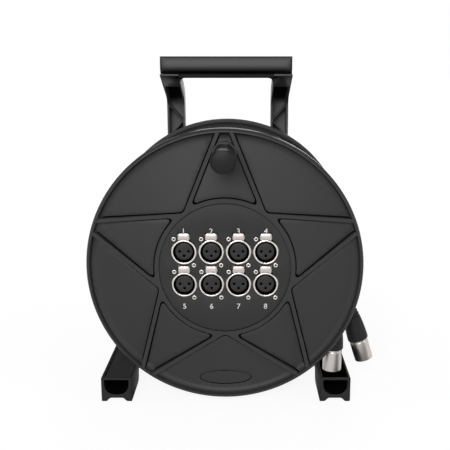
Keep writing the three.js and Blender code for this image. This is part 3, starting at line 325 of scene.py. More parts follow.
breakoutTurn = math.radians(breakout["angle"])
breakoutRun = Vector((math.sin(breakoutTurn), 0, -math.cos(breakoutTurn)))
breakoutMiddle = place(*orbit(breakout["orbit"], breakout["angle"], breakout["y"]))
breakoutStart = breakoutMiddle - breakoutRun * (breakout["length"] / 2 * mm)
breakoutEnd = breakoutMiddle + breakoutRun * (breakout["length"] / 2 * mm)


def tailPoints(side, orbits, end):
    start = breakoutEnd + Vector((0, side * breakout["tailSpacing"] / 2 * mm, 0))
    points = [start + breakoutRun * (run * mm) for run in (breakout["seatGap"], cableSizes["tailStraight"])]
    return points + [place(*orbit(*row)) for row in orbits] + [place(*row) for row in end]


leadPoints = [place(*orbit(*row)) for row in leadOrbits]
for distance in (cableSizes["leadStraight"], breakout["seatGap"]):
    leadPoints.append(breakoutStart - breakoutRun * (distance * mm))
frontTailPoints = tailPoints(-1, frontTailOrbits, frontTailEnd)
rearTailPoints = tailPoints(1, rearTailOrbits, rearTailEnd)


def windingPoints():
    steps = cableSizes["cadSteps"] * cableSizes["finerSteps"]
    dive = round(cableSizes["cadSteps"] * cableSizes["diveShare"]) * cableSizes["finerSteps"]
    last = cableSizes["turns"] * steps
    points = []
    for step in range(-dive, last + dive + 1):
        past = min(step, 0) + max(step - last, 0)
        advance = step - past * (1 - cableSizes["diveSlopeShare"])
        radius = cableSizes["windingRadius"] - cableSizes["diveDepth"] * (past / dive) ** 2
        y = cableSizes["windingStart"] + advance / steps * cableSizes["turnPitch"]
        points.append(place(*orbit(radius, step / steps * 360, y)))
    return points


def cableCurve(name, points, radius, body, stands, smoothed=True):
    data = bpy.data.curves.new(name, "CURVE")
    data.dimensions = "3D"
    data.bevel_depth = radius * mm
    data.bevel_resolution = cableSizes["sectionSteps"]
    data.use_fill_caps = True
    data.resolution_u = data.render_resolution_u = cableSizes["lengthSteps"]
    spline = data.splines.new("BEZIER" if smoothed else "POLY")
    knots = spline.bezier_points if smoothed else spline.points
    knots.add(len(points) - 1)
    for knot, point in zip(knots, points):
        knot.co = point if smoothed else (*point, 1)
        if smoothed:
            knot.handle_left_type = knot.handle_right_type = "AUTO"
    return link(name, data, body, "cable_jacket", ["cableJacket"], [stands])


# Helpers for nodes


# Sets a node's inputs: a value as it is, another node's socket by a link
def fill(tree, target, inputs):
    for label, value in inputs.items():
        if isinstance(value, bpy.types.NodeSocket):
            tree.links.new(value, target.inputs[label])
        else:
            target.inputs[label].default_value = value


def addNode(tree, kind, inputs=None, **settings):
    made = tree.nodes.new(kind)
    for name, value in settings.items():
        setattr(made, name, value)
    fill(tree, made, inputs or {})
    return made


def worked(tree, operation, *values):
    return addNode(tree, "ShaderNodeMath", dict(enumerate(values)), operation=operation).outputs["Value"]


def ranged(tree, value, low, high, fromLow=0.3, fromHigh=0.7):
    ends = {"From Min": fromLow, "From Max": fromHigh, "To Min": low, "To Max": high}
    return addNode(tree, "ShaderNodeMapRange", {"Value": value, **ends}).outputs["Result"]


def blended(tree, factor, low, high):
    ends = {"Factor": factor, "A": low, "B": high}
    return addNode(tree, "ShaderNodeMix", ends, data_type="RGBA").outputs["Result"]


def objectPlace(tree):
    return addNode(tree, "ShaderNodeTexCoord").outputs["Object"]


def noiseAt(tree, where, scale, detail):
    inputs = {"Vector": where, "Scale": scale, "Detail": detail}
    return addNode(tree, "ShaderNodeTexNoise", inputs).outputs["Fac"]


# A node group with named inputs and outputs, and the sockets that give its inputs
def newTree(kind, name, inputs, outputs):
    tree = bpy.data.node_groups.new(name, kind)
    for label, socketKind, value in inputs:
        socket = tree.interface.new_socket(label, in_out="INPUT", socket_type="NodeSocket" + socketKind)
        if value is not None:
            socket.default_value = value
    for label, socketKind in outputs:
        tree.interface.new_socket(label, in_out="OUTPUT", socket_type="NodeSocket" + socketKind)
    return tree, tree.nodes.new("NodeGroupInput").outputs


# Shader groups: every effect that several finishes share is built once


# Fine moulded or cast grain: a height for bumps and a mask that varies the gloss
def buildGrain():
    scales = [("Grain Scale", "Float", 900), ("Patch Scale", "Float", 14)]
    results = [("Height", "Float"), ("Patches", "Float")]
    tree, given = newTree("ShaderNodeTree", "surfaceGrain", scales, results)
    where = objectPlace(tree)
    heights = {
        "Height": noiseAt(tree, where, given["Grain Scale"], 3),
        "Patches": noiseAt(tree, where, given["Patch Scale"], 4),
    }
    addNode(tree, "NodeGroupOutput", heights)
    return tree


# Faint handling dust, which settles on faces that look up
def buildDust():
    amounts = [("Amount", "Float", 0.3), ("Scale", "Float", 30)]
    tree, given = newTree("ShaderNodeTree", "settledDust", amounts, [("Mask", "Float")])
    normal = addNode(tree, "ShaderNodeNewGeometry").outputs["Normal"]
    upward = addNode(tree, "ShaderNodeSeparateXYZ", {"Vector": normal}).outputs["Z"]
    broken = ranged(tree, noiseAt(tree, objectPlace(tree), given["Scale"], 6), 0, 1, 0.42, 0.75)
    both = worked(tree, "MULTIPLY", ranged(tree, upward, 0, 1, 0.55, 1), broken)
    addNode(tree, "NodeGroupOutput", {"Mask": worked(tree, "MULTIPLY", both, given["Amount"])})
    return tree


# Hairlines of a brushed or turned metal, long in one direction of the object
def buildHairlines():
    scales = [("Across", "Float", 900), ("Along", "Float", 30)]
    results = [("Height", "Float"), ("Mask", "Float")]
    tree, given = newTree("ShaderNodeTree", "metalHairlines", scales, results)
    sides = {"X": given["Along"], "Y": given["Along"], "Z": given["Across"]}
    stretch = addNode(tree, "ShaderNodeCombineXYZ", sides).outputs["Vector"]
    spread = {0: objectPlace(tree), 1: stretch}
    where = addNode(tree, "ShaderNodeVectorMath", spread, operation="MULTIPLY").outputs["Vector"]
    lines = noiseAt(tree, where, 1, 2)
    addNode(tree, "NodeGroupOutput", {"Height": lines, "Mask": lines})
    return tree


grainGroup = buildGrain()
dustGroup = buildDust()
hairlineGroup = buildHairlines()

# Darker and paler base grey, roughness from and to, gloss, grain's fineness, bump and dust
finishColumns = ("low", "high", "rough", "gloss", "grain", "bump", "dust")
finishes = {
    "blackPlastic": (0.040, 0.048, (0.38, 0.48), 0.17, 1500, 0.05, 0.04),
    # Paler copy of the black plastic for the side frames; their downward faces get painted shade
    "framePlastic": (0.086, 0.096, (0.38, 0.48), 0.15, 1500, 0.05, 0.04),
    # Darker copies of the black plastic as painted shade: the grip's core and the feet
    "corePlastic": (0.018, 0.022, (0.55, 0.65), 0.02, 1500, 0.05, 0.02),
    "footPlastic": (0.034, 0.043, (0.55, 0.65), 0.04, 1500, 0.05, 0.04),
    # Paler copy of the black plastic for the grip, with a painted highlight on its upper front and darker
    # elsewhere
    "gripPlastic": (0.120, 0.130, (0.45, 0.55), 0.03, 1500, 0.05, 0.0),
    # Pale copy of the black plastic for the crank knob, kept only on the upper rim as a painted highlight and
    # darkened elsewhere
    "knobPlastic": (0.24, 0.28, (0.36, 0.44), 0.11, 1500, 0.04, 0.0),
    "platePaint": (0.040, 0.046, (0.45, 0.55), 0.12, 2200, 0.06, 0.03),
    "insertPlastic": (0.036, 0.042, (0.4, 0.5), 0.15, 1800, 0.03, 0.02),
    # Near black for the insides of holes, grooves and the feet's tunnels: painted shade
    "hollowBlack": (0.002, 0.003, (0.7, 0.8), 0.02, 900, 0.02, 0.0),
    "cableJacket": (0.022, 0.030, (0.45, 0.6), 0.25, 700, 0.08, 0.05),
    "bootRubber": (0.015, 0.020, (0.5, 0.62), 0.2, 1300, 0.06, 0.04),
    "bushPlastic": (0.55, 0.62, (0.4, 0.5), 0.4, 1500, 0.03, 0.0),
    "numberInk": (0.80, 0.86, (0.5, 0.6), 0.3, 2500, 0.02, 0.0),
}
tints = {"bushPlastic": (1.0, 0.97, 0.9), "numberInk": (1.0, 1.0, 0.98)}
# Painted highlight and shade by facing: the grip's upper front and the crank knob's upper rim keep a paler grey as
# a painted highlight and are darker elsewhere, and the side frames' downward faces, as under the swan necks, are
# painted dark as shade
paintedLightByFacing = {
    "framePlastic": {"turnedAway": 0.06, "towards": (0, 0.4, 0.916), "span": (-0.72, -0.45)},
    "gripPlastic": {"turnedAway": 0.03, "towards": (0, -0.97, 0.24), "span": (0.38, 1.0)},
    "knobPlastic": {"turnedAway": 0.068, "towards": (0, -0.50, 0.866), "span": (0.84, 0.98)},
}
dustColour = (0.30, 0.29, 0.27, 1)
grainDepth = 0.0002
metals = {
    "nickel": {"colour": (0.70, 0.66, 0.63), "dark": (0.58, 0.55, 0.52), "rough": (0.24, 0.36), "bump": 0.04},
    # Darker copies of the nickel for the latch tabs and the plug shells: painted shade, dimming their reflections
    "latchNickel": {
        "colour": (0.55, 0.51, 0.49),
        "dark": (0.48, 0.445, 0.425),
        "rough": (0.3, 0.4),
        "bump": 0.02,
    },
    "plugNickel": {
        "colour": (0.60, 0.565, 0.535),
        "dark": (0.49, 0.46, 0.435),
        "rough": (0.26, 0.34),
        "bump": 0.01,
    },
    "zinc": {"colour": (0.60, 0.61, 0.63), "dark": (0.46, 0.47, 0.49), "rough": (0.3, 0.45), "bump": 0.05},
    "brassPin": {"colour": (0.80, 0.68, 0.42), "dark": (0.70, 0.58, 0.34), "rough": (0.2, 0.3), "bump": 0.02},
}
metalPatches = 60
hairlineDepth = 0.0001


# Painted light and shade: faces that look one way keep the colour, the others are painted darker
def pickedOut(tree, colour, turnedAway, towards, span):
    normal = addNode(tree, "ShaderNodeNewGeometry").outputs["Normal"]
    sides = {0: normal, 1: towards}
    facing = addNode(tree, "ShaderNodeVectorMath", sides, operation="DOT_PRODUCT").outputs["Value"]
    shade = {0: colour, "Scale": ranged(tree, facing, turnedAway, 1, *span)}
    return addNode(tree, "ShaderNodeVectorMath", shade, operation="SCALE").outputs["Vector"]


# A material with its roughness varied by a mask and its normal bumped by a height
def newFinish(name, build, values, depth):
    material = bpy.data.materials.new(name)
    material.use_nodes = True
    tree = material.node_tree
    colour, mask, height, settings = build(tree, name, values)
    bump = {"Strength": values["bump"], "Distance": depth, "Height": height}
    surface = {
        "Base Color": colour,
        "Roughness": ranged(tree, mask, *values["rough"]),
        "Normal": addNode(tree, "ShaderNodeBump", bump).outputs["Normal"],
    }
    fill(tree, tree.nodes["Principled BSDF"], {**surface, **settings})
    return material


def moulded(tree, name, values):
    grain = addNode(tree, "ShaderNodeGroup", {"Grain Scale": values["grain"]}, node_tree=grainGroup).outputs
    dust = addNode(tree, "ShaderNodeGroup", {"Amount": values["dust"]}, node_tree=dustGroup).outputs["Mask"]
    tint = tints.get(name, (1, 1, 1))
    low, high = [(*[values[end] * part for part in tint], 1) for end in ("low", "high")]
    colour = blended(tree, grain["Patches"], low, high)
    # Painted highlight and shade by which way a face looks, for the finishes listed by facing
    if name in paintedLightByFacing:
        colour = pickedOut(tree, colour, **paintedLightByFacing[name])
    dusty = blended(tree, dust, colour, dustColour)
    return dusty, grain["Patches"], grain["Height"], {"Specular IOR Level": values["gloss"]}


def metallic(tree, name, values):
    lines = addNode(tree, "ShaderNodeGroup", node_tree=hairlineGroup).outputs
    grain = addNode(tree, "ShaderNodeGroup", {"Patch Scale": metalPatches}, node_tree=grainGroup).outputs
    colour = blended(tree, grain["Patches"], (*values["dark"], 1), (*values["colour"], 1))
    return colour, lines["Mask"], lines["Height"], {"Metallic": 1}


look = {name: newFinish(name, metallic, row, hairlineDepth) for name, row in metals.items()}
for name, row in finishes.items():
    look[name] = newFinish(name, moulded, dict(zip(finishColumns, row)), grainDepth)
bySlot = {
    "black_plastic": "blackPlastic",
    "plate_paint": "platePaint",
    "nickel": "nickel",
    "insert_plastic": "insertPlastic",
    "steel": "zinc",
    "bush_plastic": "bushPlastic",
    "cable_jacket": "cableJacket",
    "boot_rubber": "bootRubber",
}
print("finishes made")

for nodeName, node in frame["nodes"].items():
    node.data.materials.clear()
    node.data.materials.append(look[bySlot[slotOf[nodeName]]])

# Cables in place

leadCable = cableCurve("lead_cable", leadPoints, cableSizes["multicore"], "frame", "cable_lead")
frontTail = cableCurve("front_tail", frontTailPoints, cableSizes["tail"], "frame", "cable_tail_1")
rearTail = cableCurve("rear_tail", rearTailPoints, cableSizes["tail"], "frame", "cable_tail_2")
woundLine = windingPoints()
woundCable = cableCurve("wound_cable", woundLine, cableSizes["multicore"], "drum", "cable_winding", False)

# Strain reliefs and plugs, in line with the tails' ends

plugSizes = {
    "radius": 9.62,
    "wall": 1.0,
    "collarSet": 0.2,
    "collarLength": 1.6,
    "shellLength": 22.5,
    "mouth": 15,
    "edge": 2.0,
    "insertThick": 2.2,
    "bootLength": 47,
    "bootRadius": 10.8,
    "bootTip": 4.8,
    "bootRings": 6,
    "ringedShare": 0.45,
    "ringDepth": 0.55,
    "pinLength": 11,
    "pinRadius": 1.2,
    "pinCircle": 4.35,
    "pinFoot": 2.0,
}


def bootProfile():
    radius, length, tip = plugSizes["bootRadius"], plugSizes["bootLength"], plugSizes["bootTip"]
    ringed = length * plugSizes["ringedShare"]
    pitch = ringed / plugSizes["bootRings"]

    def outer(along):
        return tip + (radius - tip) * math.sin(along / length * math.pi / 2)

    corners = [(0, 0, 0), (tip, 0, 0.6)]
    for ring in range(plugSizes["bootRings"]):
        start = (ring + 0.4) * pitch
        end = start + 0.6 * pitch
        low = outer(start) - plugSizes["ringDepth"]
        corners += [(outer(start), start, 0.3), (low, start + 0.15 * pitch, 0.3)]
        corners += [(low + 0.1, start + 0.45 * pitch, 0.3), (outer(end), end, 0.3)]
    for step in range(1, 6):
        along = ringed + (length - 1 - ringed) * step / 5
        corners.append((outer(along), along, 0.4))
    corners += [(radius - 0.5, length, 0.3), (0, length, 0)]
    return rounded(corners, 3)


def shellProfile():
    radius, length, collar = plugSizes["radius"], plugSizes["shellLength"], plugSizes["collarLength"]
    inner, neck = radius - plugSizes["wall"], radius - plugSizes["collarSet"]
    corners = [(0, 0, 0), (neck, 0, 0.2), (neck, collar, 0.2), (radius, collar + 0.4, 0.2)]
    corners += [(radius, length, plugSizes["edge"]), (inner, length, 0.4)]
    corners += [(inner, length - plugSizes["mouth"], 0.3), (0, length - plugSizes["mouth"], 0)]
    return rounded(corners, 4)


def turnedMesh(name, profile, start, run, facets, degrees):
    build = bmesh.new()
    lathe(build, profile, start, run, facets)
    return toMesh(name, build, degrees)


# One turned piece of a plug
def turned(name, profile, start, run, facets, degrees, slot, finish, stands=()):
    mesh = turnedMesh(name, profile, start, run, facets, degrees)
    return link(name, mesh, "frame", slot, [finish], stands)


def makePlug(index, points):
    run = (points[-1] - points[-2]).normalized()
    start = points[-1] + run * (breakout["seatGap"] * mm)
    shellStart = start + run * ((plugSizes["bootLength"] + breakout["seatGap"]) * mm)
    seat = shellStart + run * ((plugSizes["shellLength"] - plugSizes["mouth"] + 0.05) * mm)
    bootName, shellName = f"plug_strain_relief_{index}", f"plug_barrel_{index}"
    bootNode, shellNode = f"plug_boot_{index}", f"plug_shell_{index}"
    boot = turned(bootName, bootProfile(), start, run, 40, 50, "boot_rubber", "bootRubber", [bootNode])
    # The shell's nickel is a darker copy, painted shade
    shell = turned(shellName, shellProfile(), shellStart, run, 64, 40, "nickel", "plugNickel", [shellNode])
    # Insert, at the bottom of the mouth
    inner, thick = plugSizes["radius"] - plugSizes["wall"] - 0.1, plugSizes["insertThick"]
    disc = rounded([(0, 0, 0), (inner, 0, 0), (inner, thick, 0.4), (0, thick, 0)])
    insert = turned(f"plug_insert_{index}", disc, seat, run, 40, 40, "insert_plastic", "insertPlastic")
    return {"boot": boot, "shell": shell, "insert": insert, "seat": seat, "run": run}


plugs = [makePlug(1, frontTailPoints), makePlug(2, rearTailPoints)]

breakoutShape = {
    "neck": 6.0,
    "rings": 4,
    "firstRing": 2.5,
    "ringPitch": 4.2,
    "ringRadius": 7.2,
    "ringGrowth": 0.35,
    "ring": [(0, 0, 0.5), (0, 2.2, 0.5), (-0.8, 2.5, 0.3), (-0.8, 3.9, 0.3)],
    "body": [(8.4, 20, 1.0), (11.0, 34, 5.0), (11.0, 50, 1.4), (0, 50, 0)],
}
breakoutCorners = [(0, 0, 0), (breakoutShape["neck"], 0, 0.5)]
for ring in range(breakoutShape["rings"]):
    along = breakoutShape["firstRing"] + ring * breakoutShape["ringPitch"]
    outer = breakoutShape["ringRadius"] + ring * breakoutShape["ringGrowth"]
    breakoutCorners += [(outer + out, along + run, size) for out, run, size in breakoutShape["ring"]]
breakoutProfile = rounded(breakoutCorners + breakoutShape["body"], 3)
breakoutMesh = turnedMesh("breakout", breakoutProfile, breakoutStart, breakoutRun, 48, 50)
breakoutLooks = ("frame", "boot_rubber", ["bootRubber"], ["cable_breakout"])
breakoutPiece = link("breakout_moulding", breakoutMesh, *breakoutLooks)
print("plugs and breakout made")


# Geometry Nodes: one tree sets a unit piece on every point of a mesh, the other winds rings


def realized(tree, copies):
    return addNode(tree, "GeometryNodeRealizeInstances", {"Geometry": copies}).outputs["Geometry"]


# Gives the geometry its finish and hands it out
def delivered(tree, geometry, finish):
    coloured = addNode(tree, "GeometryNodeSetMaterial", {"Geometry": geometry, "Material": finish})
    addNode(tree, "NodeGroupOutput", {"Geometry": coloured.outputs["Geometry"]})
    return tree


def buildRepeatTree():
    inputs = [("Geometry", "Geometry", None), ("Unit", "Object", None), ("Size", "Float", 1.0)]
    inputs.append(("Finish", "Material", None))
    tree, given = newTree("GeometryNodeTree", "repeatOnPoints", inputs, [("Geometry", "Geometry")])
    unit = addNode(tree, "GeometryNodeObjectInfo", {"Object": given["Unit"]}).outputs["Geometry"]
    spread = {"Points": given["Geometry"], "Instance": unit, "Scale": given["Size"]}
    copies = addNode(tree, "GeometryNodeInstanceOnPoints", spread).outputs["Instances"]
    return delivered(tree, realized(tree, copies), given["Finish"])


pile = {
    "firstRadius": 75.6,
    "layerStep": 9.1,
    "layers": 3,
    "lanes": 10,
    "pitch": 11.05,
    "firstLane": 16.2,
    "slack": 0.05,
    "ringSteps": 96,
    "sectionSteps": 10,
}


# Turns under the outer layer: rings on every lane, the layers nested half a lane apart
def buildPileTree():
    inputs = [
        ("Geometry", "Geometry", None),
        ("Ring Radius", "Float", 0.09),
        ("Cable Radius", "Float", 0.005),
        ("Lanes", "Int", 10),
        ("Lane Pitch", "Float", 0.011),
        ("First Lane", "Vector", (0, 0, 0)),
        ("Finish", "Material", None),
    ]
    tree, given = newTree("GeometryNodeTree", "woundRings", inputs, [("Geometry", "Geometry")])

    def circle(radius, steps):
        sizes = {"Radius": given[radius], "Resolution": steps}
        return addNode(tree, "GeometryNodeCurvePrimitiveCircle", sizes).outputs["Curve"]

    curves = {
        "Curve": circle("Ring Radius", pile["ringSteps"]),
        "Profile Curve": circle("Cable Radius", pile["sectionSteps"]),
    }
    ring = addNode(tree, "GeometryNodeCurveToMesh", curves).outputs["Mesh"]
    laneStep = addNode(tree, "ShaderNodeCombineXYZ", {"Y": given["Lane Pitch"]}).outputs["Vector"]
    row = {"Count": given["Lanes"], "Start Location": given["First Lane"], "Offset": laneStep}
    lanes = addNode(tree, "GeometryNodeMeshLine", row).outputs["Mesh"]
    spread = {"Points": lanes, "Instance": ring, "Rotation": (math.pi / 2, 0, 0)}
    copies = addNode(tree, "GeometryNodeInstanceOnPoints", spread).outputs["Instances"]
    shade = addNode(tree, "GeometryNodeSetShadeSmooth", {"Geometry": realized(tree, copies)})
    return delivered(tree, shade.outputs["Geometry"], given["Finish"])


# Runs a tree on a mesh with its inputs set by identifier, and keeps the result as a plain mesh
def grown(name, tree, points, settings):
    mesh = bpy.data.meshes.new("points")
    mesh.from_pydata([tuple(point) for point in points], [], [])
    carrier = added("carrier", mesh)
    modifier = carrier.modifiers.new("grow", "NODES")
    modifier.node_group = tree
    identifiers = {
        item.name: item.identifier
        for item in tree.interface.items_tree
        if item.item_type == "SOCKET" and item.in_out == "INPUT"
    }
    for label, value in settings.items():
        modifier[identifiers[label]] = value
    made = baked(carrier)
    made.name = name
    return made


repeatTree = buildRepeatTree()
pileTree = buildPileTree()


# One nickel or brass piece: a copy of the unit mesh on every point
def repeated(name, unitMesh, points, finish, degrees, body, stands=()):
    unit = added("unit", unitMesh)
    mesh = grown(name, repeatTree, points, {"Unit": unit, "Size": 1.0, "Finish": look[finish]})
    bpy.data.objects.remove(unit)
    smooth(mesh, degrees)
    return link(name, mesh, body, "nickel", (), stands)


build = bmesh.new()
for layer in range(pile["layers"]):
    shift = pile["pitch"] / 2 if layer % 2 else 0
    settings = {
        "Ring Radius": (pile["firstRadius"] + layer * pile["layerStep"]) * mm,
        "Cable Radius": (cableSizes["multicore"] - pile["slack"]) * mm,
        "Lanes": pile["lanes"],
        "Lane Pitch": pile["pitch"] * mm,
        "First Lane": place(0, pile["firstLane"] + shift, 0),
        "Finish": look["cableJacket"],
    }
    build.from_mesh(grown("pileLayer", pileTree, [(0, 0, 0)], settings))
pileMesh = asMesh("innerTurns", build)
smooth(pileMesh, 180)
link("inner_turns", pileMesh, "drum", "cable_jacket", ["cableJacket"], ["cable_inner_layers"])
print("winding made")


# Sockets

sockets = {
    "columns": 4,
    "rows": 2,
    "pitchX": 26.5,
    "pitchZ": 32.7,
    "slotHalfWidth": 5.95,
    "slotTop": 19.2,
}
shellSizes = {
    "radius": 12.3,
    "wall": 1.85,
    "face": 0.2,
    "floor": 8.7,
    "back": 25.2,
    "throat": 8.9,
    "flangeY": 4.1,
    "flangeSides": [((25.6, 1.6, 2.6), (0, 13.9)), ((2.6, 1.6, 25.0), (11.4, 0))],
}
plateSizes = {
    "radius": 63.5,
    "face": 1.0,
    "thick": 2,
    "edge": 0.12,
    "hole": 12.6,
    "slotRound": 1.0,
    "slotLevels": (13.5, 16.0),
}
screwSizes = {
    "x": 9.6,
    "z": 13.0,
    "hollow": [(0, 0.1, 0), (0.85, 0.1, 0.1), (1.05, -1.0, 0.25)],
    "rim": [(2.1, -1.0, 0.5), (2.4, 0.25, 0.2), (0, 0.25, 0)],
}
socketCentres = [
    ((column - (sockets["columns"] - 1) / 2) * sockets["pitchX"], (0.5 - row) * sockets["pitchZ"])
    for row in range(sockets["rows"])
    for column in range(sockets["columns"])
]
backwards = Vector((0, 1, 0))
flip = Vector((-1, 1))


def socketShellUnit():
    build = bmesh.new()
    outer, inner = shellSizes["radius"], shellSizes["radius"] - shellSizes["wall"]
    face, floor, back = shellSizes["face"], shellSizes["floor"], shellSizes["back"]
    corners = [(inner, floor, 0.0), (inner, face, 0.7), (outer, face, 0.9), (outer, back, 0.6)]
    corners += [(shellSizes["throat"], back, 0.3), (shellSizes["throat"], floor, 0.0), (inner, floor, 0.0)]
    lathe(build, rounded(corners, 4), (0, 0, 0), backwards, 56)
    bmesh.ops.remove_doubles(build, verts=build.verts[:], dist=1e-7)
    return toMesh("socketShell", build, 40)


# The shells' own square flanges, hidden behind the plate
def backPlates():
    build = bmesh.new()
    for x, z in socketCentres:
        for sign in (-1, 1):
            for size, (across, rise) in shellSizes["flangeSides"]:
                addBox(build, size, (x + sign * across, shellSizes["flangeY"], z + sign * rise))
    return toMesh("socketBackPlates", build, 30)


socketPoints = [place(x, 0, z) for x, z in socketCentres]
shellNodes = [f"socket_shell_{index}" for index in range(1, len(socketCentres) + 1)]
repeated("socket_rings", socketShellUnit(), socketPoints, "nickel", 40, "drum", shellNodes)
link("socket_back_plates", backPlates(), "drum", "nickel", ["nickel"])

# Rivet-like screw heads with a hollow middle
screwProfile = rounded(screwSizes["hollow"] + screwSizes["rim"], 3)
screwUnit = turnedMesh("screwHead", screwProfile, (0, 0, 0), backwards, 24, 45)
screwPoints = [
    place(x + sign * screwSizes["x"], plateSizes["face"], z - sign * screwSizes["z"])
    for x, z in socketCentres
    for sign in (-1, 1)
]
repeated("socket_screws", screwUnit, screwPoints, "nickel", 45, "drum")

# Pins in both plugs' mouths
pinPieces = []
for index, plug in enumerate(plugs, 1):
    run = plug["run"]
    across = run.cross(backwards).normalized()
    third = run.cross(across)
    radius, tip = plugSizes["pinRadius"], plugSizes["pinLength"]
    pinCorners = [(0, 0, 0), (radius, 0, 0), (radius, tip, 1.0), (0, tip, 0)]
    pinUnit = turnedMesh("pin", rounded(pinCorners, 4), (0, 0, 0), run, 14, 50)
    foot = plug["seat"] + run * (plugSizes["pinFoot"] * mm)
    pinPoints = [foot + side * (plugSizes["pinCircle"] * mm) for side in (across, -across, third)]
    pinPieces.append(repeated(f"plug_pins_{index}", pinUnit, pinPoints, "brassPin", 50, "frame"))


# One ring of a sheet's edge: its outline moved inwards, and the vertices on it
def edgeRing(build, outline, inward, inset, y):
    moved = [point + normal * inset for point, normal in zip(outline, inward)]
    return moved, [build.verts.new(place(point.x, y, point.y)) for point in moved]


# A flat sheet in X and Z with holes in it: outlines[0] is its edge, the others its holes
def sheet(build, outlines, frontY, backY, edge, holeMaterial=0):
    rings = []
    for index, outline in enumerate(outlines):
        inward = []
        for here in range(len(outline)):
            run = outline[(here + 1) % len(outline)] - outline[here - 1]
            normal = Vector((-run.y, run.x)).normalized()
            inward.append(normal if (area(outline) > 0) == (index == 0) else -normal)
        levels = [(0, backY), (0, frontY + edge), (0.3 * edge, frontY + 0.3 * edge), (edge, frontY)]
        stack = [edgeRing(build, outline, inward, *level) for level in levels]
        materials = (holeMaterial if index else 0, 0, 0)
        for (_, first), (_, second), material in zip(stack, stack[1:], materials):
            band(build, first, second, material)
        rings.append((stack[-1], stack[0]))
    for sides in zip(*rings):
        points, corners, edges = [], [], []
        for loop, vertices in sides:
            addLoop(points, edges, loop)
            corners += vertices
        _, origins, triangles = triangulated(points, edges)
        for triangle, middle in triangles:
            if holds(sides[0][0], middle) and not any(holds(hole, middle) for hole, _ in sides[1:]):
                build.faces.new([corners[origins[index][0]] for index in triangle])


# Keyhole for one socket: round, with a slot above it for the latch
def keyhole(x, z):
    radius, half, top = plateSizes["hole"], sockets["slotHalfWidth"], sockets["slotTop"]
    rounding, levels = plateSizes["slotRound"], plateSizes["slotLevels"]
    slotAngle = math.asin(half / radius)
    turn = arcOf(radius, math.pi / 2 + slotAngle, math.pi * 2.5 - slotAngle, 64)
    shoulder = [Vector((half, top - rounding)), Vector((half, top)), Vector((half - rounding, top))]
    right = [Vector((half, level)) for level in levels] + bendOf(*shoulder, 4)
    left = bendOf(*[point * flip for point in reversed(shoulder)], 4)
    left += [Vector((-half, level)) for level in (top - rounding, *reversed(levels))]
    return [point + Vector((x, z)) for point in turn + right + left]


def makePlate():
    build = bmesh.new()
    outlines = [circleOf(plateSizes["radius"], 180)] + [keyhole(x, z) for x, z in socketCentres]
    sheet(build, outlines, plateSizes["face"], plateSizes["face"] + plateSizes["thick"], plateSizes["edge"])
    return toMesh("connectorPlate", build, 45)


insertSizes = {
    "radius": 8.3,
    "face": 3.2,
    "thick": 9,
    "body": [(0, 8.5), (8.25, 8.5), (8.25, 22), (0, 22)],
    "holes": [(-4.35, 0), (4.35, 0), (0, -4.3)],
    "holeRadius": 1.35,
    "holeDepth": 6.0,
    "holeFloor": [(0, 0), (1.55, 0), (1.55, 0.5), (0, 0.5)],
    "liner": [(10.4, 1.0), (10.4, 8.6), (8.0, 8.6), (8.0, 7.9), (10.15, 7.9), (10.15, 1.0), (10.4, 1.0)],
}


# Insulating insert: a disc with three contact holes, each with a small countersink. The holes' walls and floors
# and the liner ring round the disc take the near-black finish as painted shade
def makeInsert(x, z):
    build = bmesh.new()
    face = insertSizes["face"]
    outlines = [circleOf(insertSizes["radius"], 56, (x, z))]
    for holeX, holeZ in insertSizes["holes"]:
        outlines.append(circleOf(insertSizes["holeRadius"], 20, (x + holeX, z + holeZ)))
        below = place(x + holeX, face + insertSizes["holeDepth"], z + holeZ)
        lathe(build, insertSizes["holeFloor"], below, backwards, 20, 1)
    sheet(build, outlines, face, face + insertSizes["thick"], 0.2, 1)
    lathe(build, insertSizes["body"], place(x, face, z), backwards, 40)
    lathe(build, insertSizes["liner"], place(x, 0, z), backwards, 48, 1)
    return toMesh("socketInsert", build, 45)


latchSizes = {
    "halfWidth": 5.6,
    "top": 18.85,
    "corner": 2.3,
    "front": -0.8,
    "back": 1.5,
    "gap": 12.6,
    "edge": 0.4,
    "toe": 0.9,
    "knee": 0.7,
}
stemSizes = {"halfWidth": 2.0, "depth": 6.0, "from": 13.2, "to": 14.2, "overlap": 0.1}


# Sprung latch: a rounded tab whose lower edge follows the shell, on a stem behind it
def makeLatch(x, z):
    build = bmesh.new()
    half, top, corner, gap = [latchSizes[key] for key in ("halfWidth", "top", "corner", "gap")]
    toe = half - latchSizes["toe"]
    low = Vector((toe, math.sqrt(gap**2 - toe**2)))
    last = Vector((half - corner, top))
    side = [low, Vector((half, low.y + latchSizes["knee"]))]
    side += bendOf(Vector((half, top - corner)), Vector((half, top)), last, 6) + [last]
    under = arcOf(gap, math.pi - angleOf(low), angleOf(low), 12)[1:]
    outline = side + [point * flip for point in reversed(side)] + under
    moved = [point + Vector((x, z)) for point in outline]
    sheet(build, [moved], latchSizes["front"], latchSizes["back"], latchSizes["edge"])
    depth, tall = stemSizes["depth"], stemSizes["to"] - stemSizes["from"]
    middle = latchSizes["back"] - stemSizes["overlap"] + depth / 2
    addBox(build, (2 * stemSizes["halfWidth"], depth, tall), (x, middle, z + stemSizes["from"] + tall / 2))
    return toMesh("socketLatch", build, 45)


for index, (x, z) in enumerate(socketCentres, 1):
    name, node = f"socket_insulator_{index}", f"socket_insert_{index}"
    link(name, makeInsert(x, z), "drum", "insert_plastic", ["insertPlastic", "hollowBlack"], [node])
for index, (x, z) in enumerate(socketCentres, 1):
    name, node = f"latch_tab_{index}", f"socket_latch_{index}"
    # The latch tabs take a darker copy of the nickel as painted shade
    link(name, makeLatch(x, z), f"latch_{index}", "nickel", ["latchNickel"], [node])
link("plate_finished", makePlate(), "drum", "plate_paint", ["platePaint"], ["connector_plate"])

